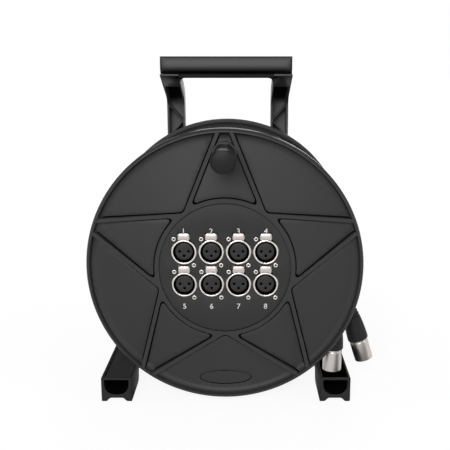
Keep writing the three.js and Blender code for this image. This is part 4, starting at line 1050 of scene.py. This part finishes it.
numberSizes = {
    "size": 7.452,
    "thick": 0.04,
    "weight": 0.06,
    "sunk": 0.05,
    "above": 20.5,
    "below": 22.4,
    "cut": 0.1,
}


# Numbers printed on the plate, white and about a tenth of a millimetre thick
def printNumber(number, x, z):
    text = bpy.data.curves.new("number", "FONT")
    text.body = str(number)
    text.size = numberSizes["size"] * mm
    text.align_x = text.align_y = "CENTER"
    text.extrude = numberSizes["thick"] * mm
    text.offset = numberSizes["weight"] * mm
    mesh = baked(added("carrier", text))
    turn = Matrix.Rotation(math.pi / 2, 4, "X")
    mesh.transform(Matrix.Translation(place(x, plateSizes["face"] - numberSizes["sunk"], z)) @ turn)
    return mesh


build = bmesh.new()
for number, (x, z) in enumerate(socketCentres[: sockets["columns"]], 1):
    build.from_mesh(printNumber(number, x, z + numberSizes["above"]))
# The upper digits are cut off at the latches' slots
geometry = build.verts[:] + build.edges[:] + build.faces[:]
where = place(0, 0, sockets["pitchZ"] / 2 + sockets["slotTop"] + numberSizes["cut"])
bmesh.ops.bisect_plane(build, geom=geometry, plane_co=where, plane_no=(0, 0, -1), clear_outer=True)
for number, (x, z) in enumerate(socketCentres[sockets["columns"] :], sockets["columns"] + 1):
    build.from_mesh(printNumber(number, x, z - numberSizes["below"]))
link("socket_numbers", asMesh("numbers", build), "drum", None, ["numberInk"])
print("sockets made")

# Crank knob: a fluted barrel with a rounded front

knobSizes = {
    "height": 111.5,
    "frontY": -58,
    "rearY": -0.1,
    "radius": 10.2,
    "baseRadius": 10.4,
    "capRadius": 11.2,
    "capDepth": 4.5,
    "flutes": 4,
    "fluteDepth": 0.95,
    "fluteHalfAngle": 20,
    "capFluteShare": 0.15,
    "facets": 120,
}


def makeKnob():
    build = bmesh.new()
    facets, front, height = knobSizes["facets"], knobSizes["frontY"], knobSizes["height"]
    cap, depth, radius = knobSizes["capRadius"], knobSizes["capDepth"], knobSizes["radius"]
    length, widening = knobSizes["rearY"] - front, knobSizes["baseRadius"] - radius
    stations = [(0, 0.0), (0, cap - 2.0), (0.12, cap - 1.7), (1.1, cap - 0.35), (1.4, cap)]
    stations += [(depth - 0.5, cap), (depth, radius + 0.2)]
    for along in (depth + 0.6, 12, 24, 36, 48, length):
        stations.append((along, radius + widening * along / length))
    pitch = fullTurn / knobSizes["flutes"]
    before = None
    for along, reach in stations:
        ring = []
        for step in range(facets if reach else 1):
            angle = fullTurn * step / facets
            off = (angle + pitch / 2) % pitch - pitch / 2
            near = max(0.0, 1 - abs(math.degrees(off)) / knobSizes["fluteHalfAngle"])
            dip = knobSizes["fluteDepth"] * math.sin(near * math.pi / 2) ** 1.5
            dip *= 1 if along > depth else knobSizes["capFluteShare"]
            here = max(0.0, reach - dip)
            spot = place(here * math.cos(angle), front + along, height + here * math.sin(angle))
            ring.append(build.verts.new(spot))
        if before:
            band(build, before, ring)
        before = ring
    build.faces.new(ring)
    return toMesh("crankKnob", build, 28)


# The knob's finish paints a highlight on its upper rim
link("crank_handle", makeKnob(), "knob", "black_plastic", ["knobPlastic"], ["crank_knob"])

# Flanges: a lipped disc whose star of ribs stands between pockets with a dished floor

flangeSizes = {
    "radius": 135.5,
    "pocketRadius": 131.8,
    "depth": 13.0,
    "width": 152.0,
    "crestWidth": 0.5,
    "rimRoundDepth": 5.0,
    "starFace": 1.0,
    "hubRadius": 63.5,
    "hubDepth": 1.0,
    "rimDepth": 6.5,
    "rimFillet": 5.0,
    "web": 3.0,
    "arms": 5,
    "ribWidth": 3.8,
    "armHalfWidth": 8.6,
    "notchRadius": 67.4,
    "notchRound": 4.0,
    "hubRing": 68.8,
    "corner": 9.5,
    "grooveWidth": 1.1,
    "grooveDepth": 2.2,
    "ribEdge": 0.3,
    "rimEase": 1.5,
    "ovalHalfWidth": 26.4,
    "ovalHalfHeight": 7.8,
    "ovalDrop": 115.5,
    "ovalDepth": 0.5,
    "ovalEdgeDepth": 1.4,
    "ovalEdgeWidth": 0.85,
    "ovalClear": 1.12,
    "ovalSteps": 120,
    "facets": 240,
    "sideSteps": 20,
    # Circles of points on the pockets' floors: how many points, and how near the edge they come
    "floorStep": 5.0,
    "firstFloorStep": 12,
    "floorSpots": (120, 1.2),
    "filletShares": (0.75, 0.35),
    "filletSpots": (180, 0.8),
}
halfArm = math.pi / flangeSizes["arms"]
betweenArms = Vector((math.sin(halfArm), math.cos(halfArm)))
starNotch = betweenArms * flangeSizes["notchRadius"]
ribReach = math.sqrt(flangeSizes["pocketRadius"] ** 2 - flangeSizes["armHalfWidth"] ** 2)
ribRun = (Vector((flangeSizes["armHalfWidth"], ribReach)) - starNotch).normalized()
ribSide = Vector((-ribRun.y, ribRun.x))


def ribPoint(step, radius):
    start = starNotch + ribSide * step
    along = start.dot(ribRun)
    return start + ribRun * (math.sqrt(along**2 - start.length_squared + radius**2) - along)


# Pocket inside the arm that points up, from its left rim corner down, round and back along the rim
def armOutline(inset, rim):
    inner = flangeSizes["hubRing"] + inset
    foot = ribPoint(flangeSizes["ribWidth"] + inset, inner)
    head = ribPoint(flangeSizes["ribWidth"] + inset, rim)
    reach = flangeSizes["corner"] - 1.5 * inset
    above = foot + ribRun * reach
    footAngle = angleOf(foot)
    turn = reach / inner
    lower = Vector((math.cos(footAngle + turn), math.sin(footAngle + turn))) * inner
    steps = flangeSizes["sideSteps"]
    points = lineOf(head * flip, above * flip, steps)
    points += bendOf(above * flip, foot * flip, lower * flip, 8)
    points += arcOf(inner, math.pi - footAngle - turn, footAngle + turn, steps)
    points += bendOf(lower, foot, above, 8)
    points += lineOf(above, head, steps)
    return points + arcOf(rim, angleOf(head), math.pi - angleOf(head), 10)


# Pocket between the arm that points up and the next one to its right
def fieldOutline(inset, rim):
    tip = starNotch + betweenArms * (inset / betweenArms.dot(-ribSide))
    head = ribPoint(-inset, rim)
    across = Vector((betweenArms.y, -betweenArms.x))
    far = head - across * (2 * head.dot(across))
    steps = flangeSizes["sideSteps"]
    before = tip + (head - tip).normalized() * flangeSizes["notchRound"]
    after = tip + (far - tip).normalized() * flangeSizes["notchRound"]
    points = lineOf(head, before, steps) + bendOf(before, tip, after, 8) + lineOf(after, far, steps)
    return points + arcOf(rim, angleOf(far), angleOf(head), 44)


def turnedOutline(points, arm):
    angle = fullTurn * arm / flangeSizes["arms"]
    cosine, sine = math.cos(angle), math.sin(angle)
    return [Vector((p.x * cosine + p.y * sine, p.y * cosine - p.x * sine)) for p in points]


def dishDepth(radius):
    sizes = flangeSizes
    rimStart = sizes["pocketRadius"] - sizes["rimFillet"]
    if radius > rimStart:
        share = max(0.0, 1 - (sizes["pocketRadius"] - radius) / sizes["rimFillet"])
        return sizes["starFace"] + sizes["rimDepth"] * math.sqrt(max(0.0, 1 - share**2))
    slope = (sizes["rimDepth"] - sizes["hubDepth"]) / (rimStart - sizes["hubRadius"])
    return sizes["starFace"] + sizes["hubDepth"] + slope * (radius - sizes["hubRadius"])


# 1 on the oval recess's edge, less inside it
def ovalReach(point):
    across = point.x / flangeSizes["ovalHalfWidth"]
    return math.hypot(across, (point.y + flangeSizes["ovalDrop"]) / flangeSizes["ovalHalfHeight"])


# Roughly how far inside the oval's edge a point lies, or a large number outside it
def ovalInset(point):
    reach = ovalReach(point)
    if reach > 1:
        return flangeSizes["radius"]
    nearer = Vector((point.x, point.y + flangeSizes["ovalDrop"])).length
    return nearer / max(reach, 0.01) * (1 - reach)


# Rings round the oval: how far each lies inside its edge, and how far below the floor
def ovalRings():
    width = flangeSizes["ovalEdgeWidth"]
    deep, shallow = flangeSizes["ovalEdgeDepth"], flangeSizes["ovalDepth"]
    edge = [(-0.2, 0), (0, 0.08), (0.12, deep), (width - 0.12, deep)]
    return edge + [(width, shallow), (width + 2.5, shallow)]


# Rings down a pocket's wall: how far inside it, how far below the star's face or below the floor
def pocketLoops(grooved):
    edge = flangeSizes["ribEdge"]
    width, depth = flangeSizes["grooveWidth"], flangeSizes["grooveDepth"]
    top = [(-edge, 0.0, None), (-0.3 * edge, 0.3 * edge, None), (0.0, edge, None)]
    if grooved:
        groove = [(0.0, 0.02), (0.0, depth - 0.15), (0.15, depth), (width - 0.1, depth)]
        groove += [(width, depth - 0.12), (width, 0.2), (width + 0.06, 0.06), (width + 0.2, 0.0)]
        return top + [(inset, None, below) for inset, below in groove]
    return top + [(0.0, None, -0.4), (0.12, None, -0.12), (0.4, None, 0.0)]


# Walls of one pocket: gives its outline on the star's face, its outline on the floor and that ring
def pocketWalls(build, corner, outlineOf, arm, grooved):
    rim, star, ease = flangeSizes["pocketRadius"], flangeSizes["starFace"], flangeSizes["rimEase"]
    onFace = before = None
    for inset, down, below in pocketLoops(grooved):
        outline = turnedOutline(outlineOf(inset, rim - max(0.0, inset)), arm)
        onFace = onFace or outline
        ring = []
        for point in outline:
            floorHere = dishDepth(point.length)
            if below is None:
                depth = min(star + down, floorHere)
            else:
                depth = max(star, floorHere + below * min(1.0, (rim - point.length) / ease))
            ring.append(corner(point, depth))
        # Painted shade: the deep faces of the fine grooves take the near-black finish
        dark = grooved and below is not None and below > 0.1
        if before:
            for face, point in zip(band(build, before, ring), outline):
                face.material_index = 1 if dark and rim - point.length > ease else 0
        before = ring
    return onFace, outline, ring


# Floor of a pocket, on points set between its last ring's own, with the oval recess where it lies
def pocketFloor(build, corner, outline, ring, grooved):
    sizes = flangeSizes
    isOval = grooved and holds(outline, Vector((0, -sizes["ovalDrop"])))
    points, edges = [], []
    addLoop(points, edges, outline)
    last = int(sizes["radius"] / sizes["floorStep"])
    radii = [index * sizes["floorStep"] for index in range(sizes["firstFloorStep"], last + 1)]
    circles = [(radius, *sizes["floorSpots"]) for radius in radii]
    for share in sizes["filletShares"]:
        circles.append((sizes["pocketRadius"] - sizes["rimFillet"] * share, *sizes["filletSpots"]))
    for radius, steps, gap in circles:
        for turn in circleOf(1, steps):
            spot = turn * radius
            if not holds(outline, spot) or isOval and ovalReach(spot) <= sizes["ovalClear"]:
                continue
            if min((spot - point).length for point in outline) > gap:
                points.append(spot)
    ovalStart = len(points)
    for inward, _ in ovalRings() if isOval else []:
        wide, high = sizes["ovalHalfWidth"] - inward, sizes["ovalHalfHeight"] - inward
        turns = circleOf(1, sizes["ovalSteps"])
        addLoop(points, edges, [Vector((wide * turn.x, high * turn.y - sizes["ovalDrop"])) for turn in turns])
    spots, origins, triangles = triangulated(points, edges, 1)
    corners = []
    for spot, origin in zip(spots, origins):
        if origin and origin[0] < len(ring):
            corners.append(ring[origin[0]])
            continue
        depth = dishDepth(spot.length)
        if isOval and origin and origin[0] >= ovalStart:
            depth += ovalRings()[(origin[0] - ovalStart) // sizes["ovalSteps"]][1]
        corners.append(corner(spot, depth))
    for triangle, middle in triangles:
        face = build.faces.new([corners[index] for index in triangle])
        # Painted shade: the oval recess's edge groove takes the near-black finish
        if isOval and ovalInset(middle) < sizes["ovalEdgeWidth"]:
            face.material_index = 1


# Face of the star: what lies between the pockets
def starFace(build, corner, pockets, inner):
    rim = flangeSizes["pocketRadius"]
    points, edges = [], []
    for outline in (*pockets, circleOf(inner, 120)):
        addLoop(points, edges, outline)
    rimPoints = sorted((point for point in points if point.length > rim - 0.001), key=angleOf)
    for first, second in nextPairs(rimPoints):
        span = (angleOf(second) - angleOf(first)) % fullTurn
        if rim * span > 2.5:
            points += arcOf(rim, angleOf(first), angleOf(first) + span, 5)[1:]
    spots, _, triangles = triangulated(points, edges)
    corners = [corner(spot, flangeSizes["starFace"]) for spot in spots]
    for triangle, middle in triangles:
        if inner <= middle.length <= rim and not any(holds(outline, middle) for outline in pockets):
            build.faces.new([corners[index] for index in triangle])


# Profile of the rim, from the star's face over the crest to the back
def rimProfile():
    sizes = flangeSizes
    edge, crest = sizes["pocketRadius"], sizes["pocketRadius"] + sizes["crestWidth"]
    profile = [(edge, sizes["starFace"], 0), (edge, 0, 0.5), (crest, 0, 0)]
    for step in range(1, 9):
        angle = step / 8 * math.pi / 2
        across = (sizes["radius"] - crest) * math.sin(angle)
        profile.append((crest + across, sizes["rimRoundDepth"] * (1 - math.cos(angle)), 0))
    web = sizes["starFace"] + sizes["rimDepth"] + sizes["web"]
    profile += [(sizes["radius"], sizes["depth"], 0.5), (edge, sizes["depth"], 0.5)]
    return profile + [(edge - sizes["rimFillet"] / 2, web, 2)]


def makeFlange(grooved, inner, back):
    build = bmesh.new()

    # The rear flange has no fine grooves and faces the other way
    def toWorld(x, y, z):
        return place(x, y, z) if grooved else place(-x, flangeSizes["width"] - y, z)

    def corner(point, y):
        return build.verts.new(toWorld(point.x, y, point.y))

    pockets = []
    for arm in range(flangeSizes["arms"]):
        for outlineOf in (armOutline, fieldOutline):
            onFace, outline, ring = pocketWalls(build, corner, outlineOf, arm, grooved)
            pockets.append(onFace)
            pocketFloor(build, corner, outline, ring, grooved)
    starFace(build, corner, pockets, inner)
    for vertex in [vertex for vertex in build.verts if not vertex.link_faces]:
        build.verts.remove(vertex)
    start = toWorld(0, 0, 0)
    lathe(build, rounded(rimProfile() + back, 5), start, toWorld(0, 1, 0) - start, flangeSizes["facets"])
    return build


# The flange's second finish is the near-black painted shade of its grooves
def finishFlange(build, name, node):
    link(name, toMesh(name, build, 55), "drum", "black_plastic", ["blackPlastic", "hollowBlack"], [node])


spigot = {
    "outer": 65.7,
    "inner": 61.5,
    "end": 20.0,
    "seat": 64.6,
    "barrel": 70.3,
    "ledge": 3.3,
    "hubBack": 5.0,
}
sleeve = {"inner": 12.6, "outer": 17.6, "length": 60.0}
boss = {"radius": 11.8, "face": 0.2, "height": 111.5, "floor": 7.0}
spigotBack = [
    (spigot["barrel"], spigot["hubBack"], 0),
    (spigot["outer"], spigot["hubBack"], 0),
    (spigot["outer"], spigot["end"], 0.5),
    (spigot["inner"], spigot["end"], 0.5),
]
frontBack = [
    (spigot["inner"], spigot["ledge"], 0),
    (spigot["seat"], spigot["ledge"], 0),
    (spigot["seat"], flangeSizes["starFace"], 0),
]
rearBack = [
    (spigot["inner"], spigot["hubBack"], 1),
    (sleeve["outer"], spigot["hubBack"], 1),
    (sleeve["outer"], sleeve["length"], 0.5),
    (sleeve["inner"], sleeve["length"], 0.5),
    (sleeve["inner"], flangeSizes["starFace"], 0),
]
frontBuild = makeFlange(True, spigot["seat"], spigotBack + frontBack)
bossProfile = [(0, boss["face"], 0), (boss["radius"], boss["face"], 0.5), (boss["radius"], boss["floor"], 0)]
lathe(frontBuild, rounded(bossProfile, 4), place(0, 0, boss["height"]), backwards, 72)
finishFlange(frontBuild, "front_flange_finished", "front_flange")
finishFlange(makeFlange(False, sleeve["inner"], spigotBack + rearBack), "rear_flange_finished", "rear_flange")
print("flanges made")

# Mouldings and metal parts with their edges rounded off: the edge's width, then the looks

edged = {
    # The side frames' finish paints their downward faces dark as shade
    "side_frame_left": (0.7, "framePlastic"),
    "side_frame_right": (0.7, "framePlastic"),
    # The feet: a darker copy of the black plastic as painted shade, and near black in the tunnels as painted shade
    "foot_left": (0.7, "footPlastic", "hollowBlack"),
    "foot_right": (0.7, "footPlastic", "hollowBlack"),
    # The grip's core: a darker copy of the black plastic as painted shade
    "grip_core": (0.8, "corePlastic"),
    "hub_carrier": (0.6, "blackPlastic"),
    "cross_bar": (0.6, "blackPlastic"),
    "carrier_bolt_upper_left": (0.4, "zinc"),
    "carrier_bolt_lower_left": (0.4, "zinc"),
    "carrier_bolt_upper_right": (0.4, "zinc"),
    "carrier_bolt_lower_right": (0.4, "zinc"),
    "axle_nut": (0.5, "zinc"),
    "axle": (0.5, "zinc"),
}
mouldings = {nodeName: softened(nodeName, width, looks) for nodeName, (width, *looks) in edged.items()}

gripSizes = {
    "halfWidth": 69.2,
    "top": 203.0,
    "bottom": 185.3,
    "front": 88.0,
    "rear": 100.0,
    "nose": 7.4,
    "undercut": 3.6,
    "undercutFrom": 0.25,
    "undercutSpan": 1.32,
    "ends": 8.5,
    "endSet": 7.5,
}


# Front of the grip: a bull-nosed bar whose ends turn back
def makeGrip():
    build = bmesh.new()
    half, ends, rear, undercut = [gripSizes[key] for key in ("halfWidth", "ends", "rear", "undercut")]
    tall = (gripSizes["top"] - gripSizes["bottom"]) / 2
    level = gripSizes["bottom"] + tall
    left = [-half + ends * (1 - math.sin((1 - step / 10) * math.pi / 2)) for step in range(11)]
    rings = []
    for x in left + [-x for x in reversed(left)]:
        share = max(0.0, (abs(x) - half + ends) / ends)
        front = gripSizes["front"] + gripSizes["endSet"] * (1 - math.sqrt(max(0.0, 1 - share**2)))
        nose = max(0.3, min(gripSizes["nose"], rear - front - undercut - 0.6))
        ring = [build.verts.new(place(x, rear, level - tall))]
        for step in range(17):
            angle = (step / 8 - 1) * math.pi / 2
            under = max(0.0, -gripSizes["undercutFrom"] - angle) / gripSizes["undercutSpan"]
            y = front + nose * (1 - math.cos(angle)) + undercut * under
            ring.append(build.verts.new(place(x, y, level + tall * math.sin(angle))))
        ring.append(build.verts.new(place(x, rear, level + tall)))
        rings.append(ring)
    for before, after in zip(rings, rings[1:]):
        band(build, before, after)
    build.faces.new(rings[0])
    build.faces.new(rings[-1])
    return toMesh("gripFront", build, 50)


gripBody, gripSlot = bodyOf["grip_cover"], slotOf["grip_cover"]
# The grip's finish paints a highlight on its upper front and shade above and below it
link("grip_front_finished", makeGrip(), gripBody, gripSlot, ["gripPlastic"], ["grip_cover"])


# Painted shade: faces deep inside each foot's tunnel, where little light gets, take the near-black finish
tunnel = {"halfWidth": 12.65, "from": 1.0, "to": 46.0, "bottom": 7.7, "top": 24.1}
for side in ("left", "right"):
    foot = mouldings[f"foot_{side}"].data
    across = [vertex.co.x for vertex in foot.vertices]
    middle = (min(across) + max(across)) / 2
    front = min(vertex.co.y for vertex in foot.vertices)
    for face in foot.polygons:
        deep = tunnel["from"] < (face.center.y - front) / mm < tunnel["to"]
        level = tunnel["bottom"] < face.center.z / mm < tunnel["top"]
        if deep and level and abs(face.center.x - middle) / mm < tunnel["halfWidth"]:
            face.material_index = 1
print("mouldings finished")

# The free cords' first points and real lengths are worked out and not kept


def lineLength(points):
    return sum((b - a).length for a, b in zip(points, points[1:]))


tuple(leadPoints[0])
lineLength(leadPoints)
tails = [(frontTail, frontTailPoints), (rearTail, rearTailPoints)]
for (tail, points), plug, pins in zip(tails, plugs, pinPieces):
    tuple(points[0])
    lineLength(points)
tuple(woundLine[0])
lineLength(woundLine)

# Floor, background and lights

studio = {
    "floorSize": 60.0,
    "floorColour": 0.2,
    "liftNear": 0.88,
    "liftFar": 1.0,
    "liftReach": 1.5,
    "bandShares": (0.24, 0.42, 0.60, 0.76),
    "bandLevel": 0.12,
    "worldFill": 0.1,
    "whiteUpTo": 0.05,
    "darkFrom": 0.4,
    "darkLevel": 0.2,
    "aimAt": (0, 0, 0.15),
}
lights = {
    "key": {"at": (-0.25, -2.0, 0.95), "size": 1.0, "power": 32},
    "fill": {"at": (1.7, -0.9, 0.7), "size": 1.0, "power": 8},
    "side": {"at": (-1.8, -0.1, 0.7), "size": 1.0, "power": 6},
    "rim": {"at": (0.3, 1.9, 0.75), "size": 1.2, "power": 9},
}
white = (1, 1, 1, 1)

floorMesh = bpy.data.meshes.new("floor")
half = studio["floorSize"] / 2
floorCorners = [(-half, -half, 0), (half, -half, 0), (half, half, 0), (-half, half, 0)]
floorMesh.from_pydata(floorCorners, [], [(0, 1, 2, 3)])
floor = added("floor", floorMesh)
floor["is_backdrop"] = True
floorMaterial = bpy.data.materials.new("paleFloor")
floorMaterial.use_nodes = True
floorMesh.materials.append(floorMaterial)
tree = floorMaterial.node_tree
rays = addNode(tree, "ShaderNodeLightPath").outputs
where = objectPlace(tree)
# Painted reflection: the floor's glow seen in reflections is darker in two bands on either side of the front, so
# metal reflects dark bands as of two dark cards in a studio
aim = addNode(tree, "ShaderNodeVectorMath", {0: where}, operation="NORMALIZE").outputs["Vector"]
rearward = addNode(tree, "ShaderNodeSeparateXYZ", {"Vector": aim}).outputs["Y"]
paintedReflectionBands = addNode(tree, "ShaderNodeFloatCurve", {"Value": worked(tree, "MULTIPLY", rearward, -1)})
curve = paintedReflectionBands.mapping.curves[0]
for share, level in zip(studio["bandShares"], (1, studio["bandLevel"], studio["bandLevel"], 1)):
    curve.points.new(share, level)
curve.points[0].location = (0, 1)
for knot in curve.points:
    knot.handle_type = "VECTOR"
paintedReflectionBands.mapping.update()
mirrored = worked(tree, "MULTIPLY", rays["Is Glossy Ray"], paintedReflectionBands.outputs["Value"])
seen = worked(tree, "MAXIMUM", rays["Is Camera Ray"], mirrored)
# The lamps' light falls off with the distance, and the floor's own lift makes up for it
reach = addNode(tree, "ShaderNodeVectorMath", {0: where}, operation="LENGTH").outputs["Value"]
lift = ranged(tree, reach, studio["liftNear"], studio["liftFar"], 0, studio["liftReach"])
floorLook = {
    "Base Color": (*[studio["floorColour"]] * 3, 1),
    "Roughness": 0.9,
    "Specular IOR Level": 0.1,
    "Emission Color": white,
    "Emission Strength": worked(tree, "MULTIPLY", seen, lift),
}
fill(tree, tree.nodes["Principled BSDF"], floorLook)

world = bpy.data.worlds.new("studio")
bpy.context.scene.world = world
world.use_nodes = True
tree = world.node_tree
rays = addNode(tree, "ShaderNodeLightPath").outputs
seen = worked(tree, "MAXIMUM", rays["Is Camera Ray"], rays["Is Glossy Ray"])
seen = worked(tree, "MAXIMUM", seen, rays["Is Transmission Ray"])
strength = ranged(tree, seen, studio["worldFill"], 1, 0, 1)
# The studio is white round the horizon and darker overhead; the camera sees white all round
where = addNode(tree, "ShaderNodeTexCoord").outputs["Generated"]
height = addNode(tree, "ShaderNodeSeparateXYZ", {"Vector": where}).outputs["Z"]
overhead = ranged(tree, height, 1, studio["darkLevel"], studio["whiteUpTo"], studio["darkFrom"])
shown = worked(tree, "MAXIMUM", overhead, rays["Is Camera Ray"])
backdrop = {"Color": white, "Strength": worked(tree, "MULTIPLY", strength, shown)}
fill(tree, tree.nodes["Background"], backdrop)

for name, values in lights.items():
    data = bpy.data.lights.new(name + "Light", "AREA")
    data.energy = values["power"]
    data.size = values["size"]
    light = added(name + "Light", data)
    light.location = values["at"]
    aim = Vector(studio["aimAt"]) - Vector(values["at"])
    light.rotation_euler = aim.to_track_quat("-Z", "Y").to_euler()
bpy.context.scene.view_settings.view_transform = "Standard"
print("studio set")

bpy.context.view_layer.update()
boxes = {"cad": cadBox, "visual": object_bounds()}
{label: [list(corner) for corner in box] for label, box in boxes.items()}
